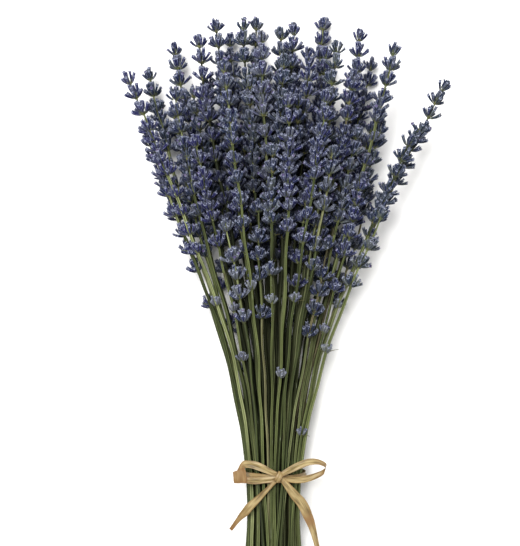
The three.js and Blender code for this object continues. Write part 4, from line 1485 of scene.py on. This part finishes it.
@dataclass
class Stalks:
    """The stalks of the sprays, from their cut ends to the seats of the heads."""

    material: Material
    seed: int = 11
    radii: Pair = (1.17, 0.92)  # from the middle to the ridges, at the cut end and at the head
    stout: float = 1.28  # how much thicker the stalks inside and behind are
    front_from: float = 24  # mm over the surface at the tie: from here up a stalk is in front
    step: float = 6
    loose: int = 9  # stalks on the front, and as many on the back, whose cut ends cross over the others
    loose_slope: Pair = (0.05, 0.11)
    loose_lift: float = 2.3
    loose_start: float = -4.0  # just below the tie
    lift_run: float = 26

    def build_all(self, sprigs: list[Sprig], sprays: int, shift: Vector) -> None:
        """Makes the stalks of each spray as one piece.

        Args:
            sprigs: of the bunch.
            sprays: how many there are.
            shift: from the gathering's origin to the frame's, in metres.
        """
        draw = SeededDraw(self.seed)
        crossing = self._choose_loose(sprigs, draw)
        for spray in range(sprays):
            cluster = Cluster()
            for index, sprig in enumerate(sprigs):
                if sprig.spray != spray:
                    continue
                # how much painted shade the stalk gets, deep inside the bunch
                cluster.depth = sprig.depth()
                end = sprig.distance_of(sprig.base_y)
                in_front = sprig.at(sprig.distance_of(0))[0].z > self.front_from
                thick, thin = (radius * (1 if in_front else self.stout) for radius in self.radii)
                made = stalk_shape(sprig, 0, end, (thick, thin), int(end / self.step))
                form = stalk_form(made, sprig, draw())
                if index in crossing:
                    self._slant(made, *crossing[index])
                cluster.add_stalk(made, form)
            number = f"{spray + 1:02d}"
            cluster.finish(f"stalks_{number}", [self.material], shift, "stem", f"stems_{number}")

    def _choose_loose(self, sprigs: list[Sprig], draw: SeededDraw) -> dict[int, Pair]:
        """Returns how far sideways and up or down the loose cut ends lean, by sprig."""
        at_tie = [sprig.at(sprig.distance_of(0))[0] for sprig in sprigs]
        order = sorted(range(len(sprigs)), key=lambda index: at_tie[index].z)
        chosen: dict[int, Pair] = {}
        for group, side in ((order[-2 * self.loose :: 2], 1), (order[: 2 * self.loose : 2], -1)):
            for index in group:
                inward = -1 if at_tie[index].x > 0 else 1
                lift = self.loose_lift if side > 0 else 0
                chosen[index] = (inward * draw.between(*self.loose_slope), lift)
        return chosen

    def _slant(self, made: Shape, slope: float, lift: float) -> None:
        """Leans a stalk's cut end sideways, over its neighbours.

        Args:
            made: the stalk.
            slope: how far it leans for each millimetre below the tie.
            lift: how far it rises over the others.
        """
        for corner in made.verts:
            below = self.loose_start - corner.co.y
            if below > 0:
                corner.co.x += slope * below
                share = min(1.0, below / self.lift_run)
                corner.co.z += lift * share * share * (3 - 2 * share)


# The raffia


@dataclass(frozen=True)
class Station:
    """A place along a strip of raffia, with the direction of its width, its width and how brown it is: partly
    a real stain, and partly painted shade at folds, creases and where it runs into the knot.
    """

    place: Triple
    across: Triple
    width: float
    shade: float = 0.0


@dataclass
class Strip:
    """A creased strip of raffia, laid through stations."""

    stations: Sequence[Station]
    seed: int
    pleats: float = 1.5
    pleat_depth: float = 0.28
    pleat_scatter: float = 0.25  # of their depth
    pleat_drift: float = 0.12  # how far they wander sideways, in pleats
    kink_spacing: float = 5.5
    kink_depth: float = 0.3
    fray: float = 0.09  # of its width
    map_step: float = 0.37  # m, sets the fibres of one strip apart from another's
    across: int = 10
    pitch: float = 1.0
    thickness: float = 0.22
    sharp: float = math.radians(16)

    def build(self) -> tuple[Shape, np.ndarray, float]:
        """Makes the strip.

        Returns:
            Its shape with the map of its fibres, the form channels of its corners, and its length.
        """
        draw = SeededDraw(self.seed)
        keys = np.array([[*stop.place, *stop.across, stop.width, stop.shade] for stop in self.stations])
        steps = np.sqrt((np.diff(keys[:, :3], axis=0) ** 2).sum(axis=1))
        stops = np.concatenate([[0], np.cumsum(steps)])
        length = float(stops[-1])
        along = int(length / self.pitch)
        runs = np.linspace(0, length, along + 1)
        rows = smooth_through(stops, keys, runs)
        tangents = np.gradient(rows[:, :3], axis=0)
        kinks = np.arange(0, length + self.kink_spacing, self.kink_spacing)
        waves = [np.interp(runs, kinks, [draw.around(1) for _ in kinks]) for _ in range(5)]
        phase = draw.between(0, 1)

        def place(s: float, t: float) -> Vector:
            """Returns the place of a corner of the strip."""
            k = round(t * along)
            tangent = Vector(tangents[k]).normalized()
            across = Vector(rows[k][3:6])
            across = (across - tangent * across.dot(tangent)).normalized()
            up = tangent.cross(across)
            drift, scatter, kink, twist, fray = (wave[k] for wave in waves)
            turn = self.pleats * s + phase + self.pleat_drift * drift
            uneven = 1 - self.pleat_scatter + self.pleat_scatter * scatter
            fold = self.pleat_depth * (4 * abs(turn % 1 - 0.5) - 1) * uneven
            lift = fold + self.kink_depth * (kink + (2 * s - 1) * twist)
            side = s - 0.5
            edge = 1 + self.fray * fray * (1 if side > 0 else -1)
            return Vector(rows[k][:3]) + across * side * rows[k][6] * edge + up * lift

        made = sweep(self.across, along, place, closed=False, thickness=self.thickness)
        for crease in made.edges:
            crease.smooth = crease.calc_face_angle(0) < self.sharp
        return made, self._map(made, rows, runs), length

    def _map(self, made: Shape, rows: np.ndarray, runs: np.ndarray) -> np.ndarray:
        """Gives the strip its map, in metres along it and across it.

        Args:
            made: its shape.
            rows: place, direction across, width and shade at each step along it.
            runs: how far along it each step is.

        Returns:
            The form channels of its corners: how brown it is, with its painted shade, and how near to its
                edge.
        """
        made.verts.index_update()
        places = np.array([corner.co for corner in made.verts])
        nearest = ((places[:, None, :] - rows[None, :, :3]) ** 2).sum(axis=2).argmin(axis=1)
        sides = ((places - rows[nearest, :3]) * rows[nearest, 3:6]).sum(axis=1)
        start = self.seed * self.map_step
        layer = made.loops.layers.uv.new("strip")
        for face in made.faces:
            for loop in face.loops:
                k = loop.vert.index
                loop[layer].uv = (start + runs[nearest[k]] * METRES, sides[k] * METRES)
        form = np.ones((len(places), 4))
        form[:, 0] = rows[nearest, 7].clip(0, 1)
        form[:, 1] = (2 * abs(sides) / rows[nearest, 6]).clip(0, 1)
        return form


@dataclass
class RaffiaBow:
    """The raffia tie: two turns round the stalks, a knot, two loops and two loose ends."""

    material: Material
    turn_width: float = 4.4
    turn_lifts: Pair = (0.3, 0.65)  # of the strip's middle over the stalks, on each turn
    turn_shades: Pair = (0.0, 0.25)
    turn_slant: float = 1.15
    turn_cross: float = 0.6  # radians from the side: where the turns lie furthest apart
    turn_steps: int = 32
    turn_start: float = math.radians(84)  # behind the knot
    knot_at: Pair = (2.5, 1.5)
    knot_rise: float = 1.2
    knot_halves: Pair = (3.8, 2.8)  # along the bunch and away from it
    knot_wraps: tuple[Triple, ...] = ((0.6, 0.2, 4.2), (0.9, -0.5, 4.0))  # size, yaw, width
    knot_steps: int = 24
    knot_start: float = 4.4  # radians: underneath
    # painted shade over the strips of the knot
    knot_shade: float = 0.3
    band_seed: int = 1
    tail_seed: int = 5
    knot_seed: int = 7
    loop_seed: int = 11
    # The left loop: out from the knot to where it is folded over, with painted shade near the knot and at the
    # fold
    left_loop: tuple[Station, ...] = (
        Station((1.0, 3.4, 36.8), (0.2, -0.9, 0.35), 3.0, 0.3),
        Station((-5, 6.4, 38.2), (0.1, -0.9, 0.4), 4.6),
        Station((-12, 9.2, 38.2), (0, -0.9, 0.4), 5.4),
        Station((-18.5, 10.5, 36.9), (0, -0.95, 0.3), 4.9),
        Station((-21.0, 10.3, 36.4), (0.05, -1, 0.1), 5.0, 0.2),
        Station((-22.0, 9.4, 35.8), (0.35, -0.9, 0), 4.3, 0.6),
        Station((-23.0, 7.0, 35.0), (0.8, -0.6, 0), 4.6, 0.6),
        Station((-23.8, 4.5, 34.3), (1, -0.2, 0), 5.0, 0.8),
    )
    # Its folded end, pressed flat and browner than the rest
    left_fold: tuple[Station, ...] = (
        Station((-24.8, 6.5, 35.8), (0.9, 0.45, 0), 8.4, 0.9),
        Station((-24.4, 5.4, 35.8), (0.95, 0.3, 0), 8.8, 0.75),
        Station((-24.0, 2.2, 35.6), (1, 0, 0.05), 9.0, 0.65),
        Station((-23.9, -1.0, 35.2), (1, 0, 0.05), 9.0, 0.7),
        Station((-23.8, -2.9, 34.7), (1, 0, 0.05), 8.6, 0.9),
    )
    # From the fold back to the knot, below the way out, with painted shade where it starts under the folded
    # end
    left_return: tuple[Station, ...] = (
        Station((-24.0, -0.7, 34.1), (0, 1, 0.1), 4.4, 0.8),
        Station((-19.6, -0.8, 34.4), (0, 1, 0.1), 4.6, 0.7),
        Station((-17.6, -1.0, 34.4), (0, 1, 0.2), 4.8, 0.2),
        Station((-15, -1.3, 33.9), (0, 0.95, 0.3), 4.8),
        Station((-8, -0.8, 35.0), (0, 0.95, 0.3), 4.4),
        Station((-2, 0.0, 35.5), (0, 0.95, 0.3), 3.8, 0.2),
        Station((1.4, 1.0, 35.6), (0, 0.95, 0.3), 3.0, 0.4),
    )
    # The right loop: slender and open, with painted shade where it turns back and near the knot
    right_loop: tuple[Station, ...] = (
        Station((4.0, 3.0, 36.8), (0.3, -0.9, 0.35), 3.0, 0.3),
        Station((10, 6.6, 38.4), (0.3, -0.85, 0.4), 4.4),
        Station((17, 10.2, 39.2), (0.2, -0.85, 0.45), 4.8),
        Station((24, 12.2, 38.6), (0.1, -0.85, 0.5), 4.6),
        Station((30.4, 11.6, 37.0), (-0.1, -0.75, 0.65), 4.2, 0.3),
        Station((34.6, 8.8, 35.4), (-0.3, -0.5, 0.8), 4.0, 0.5),
        Station((33.4, 5.2, 34.2), (-0.1, -0.7, 0.7), 4.2, 0.5),
        Station((28, 2.0, 33.4), (0.2, -0.85, 0.5), 4.4, 0.2),
        Station((21, -0.4, 33.2), (0.1, -0.9, 0.4), 4.6),
        Station((13, -0.8, 34.2), (0, -0.95, 0.3), 4.2),
        Station((6, 0.4, 35.4), (0, -0.95, 0.3), 3.2, 0.3),
    )
    tail_droop: float = 0.0105  # mm for each square millimetre away from the knot
    # The loose ends: to the right, along the bunch, width and shade, which is painted shade near the knot and
    # at a crease, and browner towards the tips
    left_tail: tuple[tuple[float, float, float, float], ...] = (
        (1.5, 0, 2.6, 0.4), (-4.8, -6.8, 2.9, 0.2), (-11.6, -13.6, 4.4, 0.1), (-17, -19.4, 5.6, 0.1),
        (-21, -24, 5.3, 0.3), (-25.2, -29.2, 3.4, 0.6), (-30.6, -36.7, 2.5, 1.0),
    )
    right_tail: tuple[tuple[float, float, float, float], ...] = (
        (4.4, 0.6, 3, 0.3), (8.6, -5, 4.6, 0), (13.6, -11, 6.2, 0), (17.7, -15.8, 6.8, 0),
        (21.6, -23, 6.8, 0.2), (23.8, -28.2, 6.2, 0.8), (26.6, -37.4, 4.4, 0), (28.6, -45, 3.6, 0.1),
        (30.6, -55, 3.4, 0.3), (33, -63, 1.8, 0.7),
    )

    def build(self, shift: Vector) -> None:
        """Makes the whole tie as one piece."""
        whole = bmesh.new()
        forms: list[np.ndarray] = []
        total = 0.0
        for strip in [*self._band(), *self._loops(), *self._tails(), *self._knot()]:
            made, form, length = strip.build()
            total += length
            shape = to_mesh("strip", made)
            forms.append(form)
            whole.from_mesh(shape)
            bpy.data.meshes.remove(shape)
        log.info("raffia: %.0f mm of strip", total)
        finish_piece(
            "raffia_bow", whole, [self.material], shift, ["raffia_tie"], {"form": np.vstack(forms)}
        )

    def _knot_place(self) -> Vector:
        """Returns the middle of the knot."""
        return Vector((*self.knot_at, 2 * BAND_MIDDLE + self.knot_rise))

    def _band(self) -> list[Strip]:
        """Returns the turns round the stalks, which cross each other at a slant."""
        strips = []
        for turn, (lift, shade) in enumerate(zip(self.turn_lifts, self.turn_shades)):
            wide, high = (half + lift for half in BAND_INSIDE)
            stations = []
            for k in range(self.turn_steps + 1):
                angle = self.turn_start - 2 * math.pi * k / self.turn_steps
                slant = (1 - 2 * turn) * self.turn_slant * math.cos(angle + self.turn_cross)
                place = (wide * math.cos(angle), slant, BAND_MIDDLE + high * math.sin(angle))
                stations.append(Station(place, (0, 1, 0), self.turn_width, shade))
            style = {"pleats": 1.0, "pleat_depth": 0.1, "kink_depth": 0.08}
            strips.append(Strip(stations, self.band_seed + turn, **style))
        return strips

    def _loops(self) -> list[Strip]:
        """Returns the strips of the two loops."""
        routes = (self.left_loop, self.left_fold, self.left_return, self.right_loop)
        style = {"pleats": 1.3, "pleat_depth": 0.42, "pitch": 0.7}
        return [Strip(route, self.loop_seed + k, **style) for k, route in enumerate(routes)]

    def _tails(self) -> list[Strip]:
        """Returns the two loose ends."""
        knot = self._knot_place()
        strips = []
        for index, route in enumerate((self.left_tail, self.right_tail)):
            places = [(x, y, knot.z - self.tail_droop * (x - knot.x) ** 2) for x, y, _, _ in route]
            stations = []
            for k, (_, _, width, shade) in enumerate(route):
                before, after = places[max(k - 1, 0)], places[min(k + 1, len(places) - 1)]
                across = (before[1] - after[1], after[0] - before[0], 0)
                stations.append(Station(places[k], tuple(Vector(across).normalized()), width, shade))
            strips.append(Strip(stations, self.tail_seed + index, pleats=1.2))
        return strips

    def _knot(self) -> list[Strip]:
        """Returns the strip that is drawn round the crossing, and a tighter turn under it."""
        knot = self._knot_place()
        strips = []
        for index, (size, yaw, width) in enumerate(self.knot_wraps):
            long, high = (half * size for half in self.knot_halves)
            stations = []
            for k in range(self.knot_steps + 1):
                angle = 2 * math.pi * k / self.knot_steps + self.knot_start
                y = long * math.cos(angle)
                place = knot + Vector((-y * math.tan(yaw), y, high * math.sin(angle)))
                across = (math.cos(yaw), math.sin(yaw), 0)
                stations.append(Station(tuple(place), across, width, self.knot_shade))
            style = {"pleats": 2.2, "pleat_depth": 0.26, "kink_depth": 0.1, "pitch": 0.7}
            strips.append(Strip(stations, self.knot_seed + index, **style))
        return strips


# The stage


@dataclass(frozen=True)
class SoftLight:
    """A square light that faces the bunch."""

    name: str
    place: Triple  # m
    power: float  # W
    size: float  # m

    def build(self) -> None:
        """Adds the light."""
        light = bpy.data.lights.new(self.name, "AREA")
        light.energy = self.power
        light.size = self.size
        holder = put(self.name, light)
        holder.location = self.place
        holder.rotation_euler = (-Vector(self.place)).to_track_quat("-Z", "Y").to_euler()


@dataclass
class Studio:
    """A pale floor, soft light and a camera that looks straight down on the bunch."""

    picture: tuple[int, int] = (520, 546)
    mm_per_pixel: float = 0.68
    tie_pixel: Pair = (275, 480)  # where the middle of the tie is in the picture
    lens: float = 90
    sensor: float = 36
    floor_size: float = 3.0
    lights: tuple[SoftLight, ...] = (
        SoftLight("key_light", (-0.34, 0.46, 1.6), 50.0, 0.8),
        SoftLight("fill_light", (0.9, -0.5, 1.3), 8.0, 1.4),
    )
    surround: str = "#ffffff"
    surround_strength: float = 0.26

    def build(self, shift: Vector, floor: Material) -> None:
        """Sets up the floor, the lights and the camera."""
        self._floor(floor)
        self._lights()
        self._camera(shift)

    def _floor(self, material: Material) -> None:
        """Adds the surface that the bunch lies on."""
        made = bmesh.new()
        bmesh.ops.create_grid(made, x_segments=1, y_segments=1, size=self.floor_size)
        mesh = to_mesh("pale_floor", made)
        mesh.materials.append(material)
        floor = put("pale_floor", mesh)
        floor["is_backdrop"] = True

    def _lights(self) -> None:
        """Adds a large soft key light, a fill from the other side and an even surrounding light."""
        for light in self.lights:
            light.build()
        world = bpy.data.worlds.new("soft_surround")
        world.use_nodes = True
        background = world.node_tree.nodes["Background"].inputs
        background["Color"].default_value = linear(self.surround)
        background["Strength"].default_value = self.surround_strength
        bpy.context.scene.world = world
        bpy.context.scene.view_settings.view_transform = "Standard"

    def _camera(self, shift: Vector) -> None:
        """Adds the camera, framed as the picture is."""
        width, height = self.picture
        middle_x = (width / 2 - self.tie_pixel[0]) * self.mm_per_pixel * METRES + shift.x
        middle_y = (self.tie_pixel[1] - height / 2) * self.mm_per_pixel * METRES + shift.y
        level = (CAD_BOX[0][2] + CAD_BOX[1][2]) / 2
        tall = height * self.mm_per_pixel * METRES
        camera = bpy.data.cameras.new("camera")
        camera.lens = self.lens
        camera.sensor_width = self.sensor
        camera.sensor_fit = "AUTO"
        holder = put("camera", camera)
        holder.location = (middle_x, middle_y, level + tall * self.lens / self.sensor)
        bpy.context.scene.camera = holder


def main() -> None:
    """Gathers the bunch, dresses it and sets the stage."""
    rest = next(mount for mount in frame["record"]["mounts"] if mount["name"] == "rest")
    shift = Vector(rest["pos_m"])
    gathering = Gathering()
    sprigs = gathering.gather()
    log.info("gathered %d sprigs", len(sprigs))
    templates = FloretShapes().templates()
    stalk = DryStalk().material()
    dress = {
        Dress.CALYX: DownyCalyx().material(),
        Dress.PETAL: WitheredPetal().material(),
        Dress.BRACT: PaperyBract().material(),
        Dress.STALK: stalk,
    }
    Stalks(stalk).build_all(sprigs, gathering.sprays, shift)
    Spikes(templates, [dress[slot] for slot in Dress]).build_all(sprigs, gathering.sprays, shift)
    RaffiaBow(Raffia().material()).build(shift)
    for template in templates.values():
        bpy.data.meshes.remove(template.mesh)
    Studio().build(shift, PaleFloor().material())
    boxes = {"cad": CAD_BOX, "visual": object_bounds()}
    json.dumps({name: [list(map(float, corner)) for corner in box] for name, box in boxes.items()})


if __name__ == "__main__":
    logging.basicConfig(level=logging.INFO, format="%(message)s")
    main()
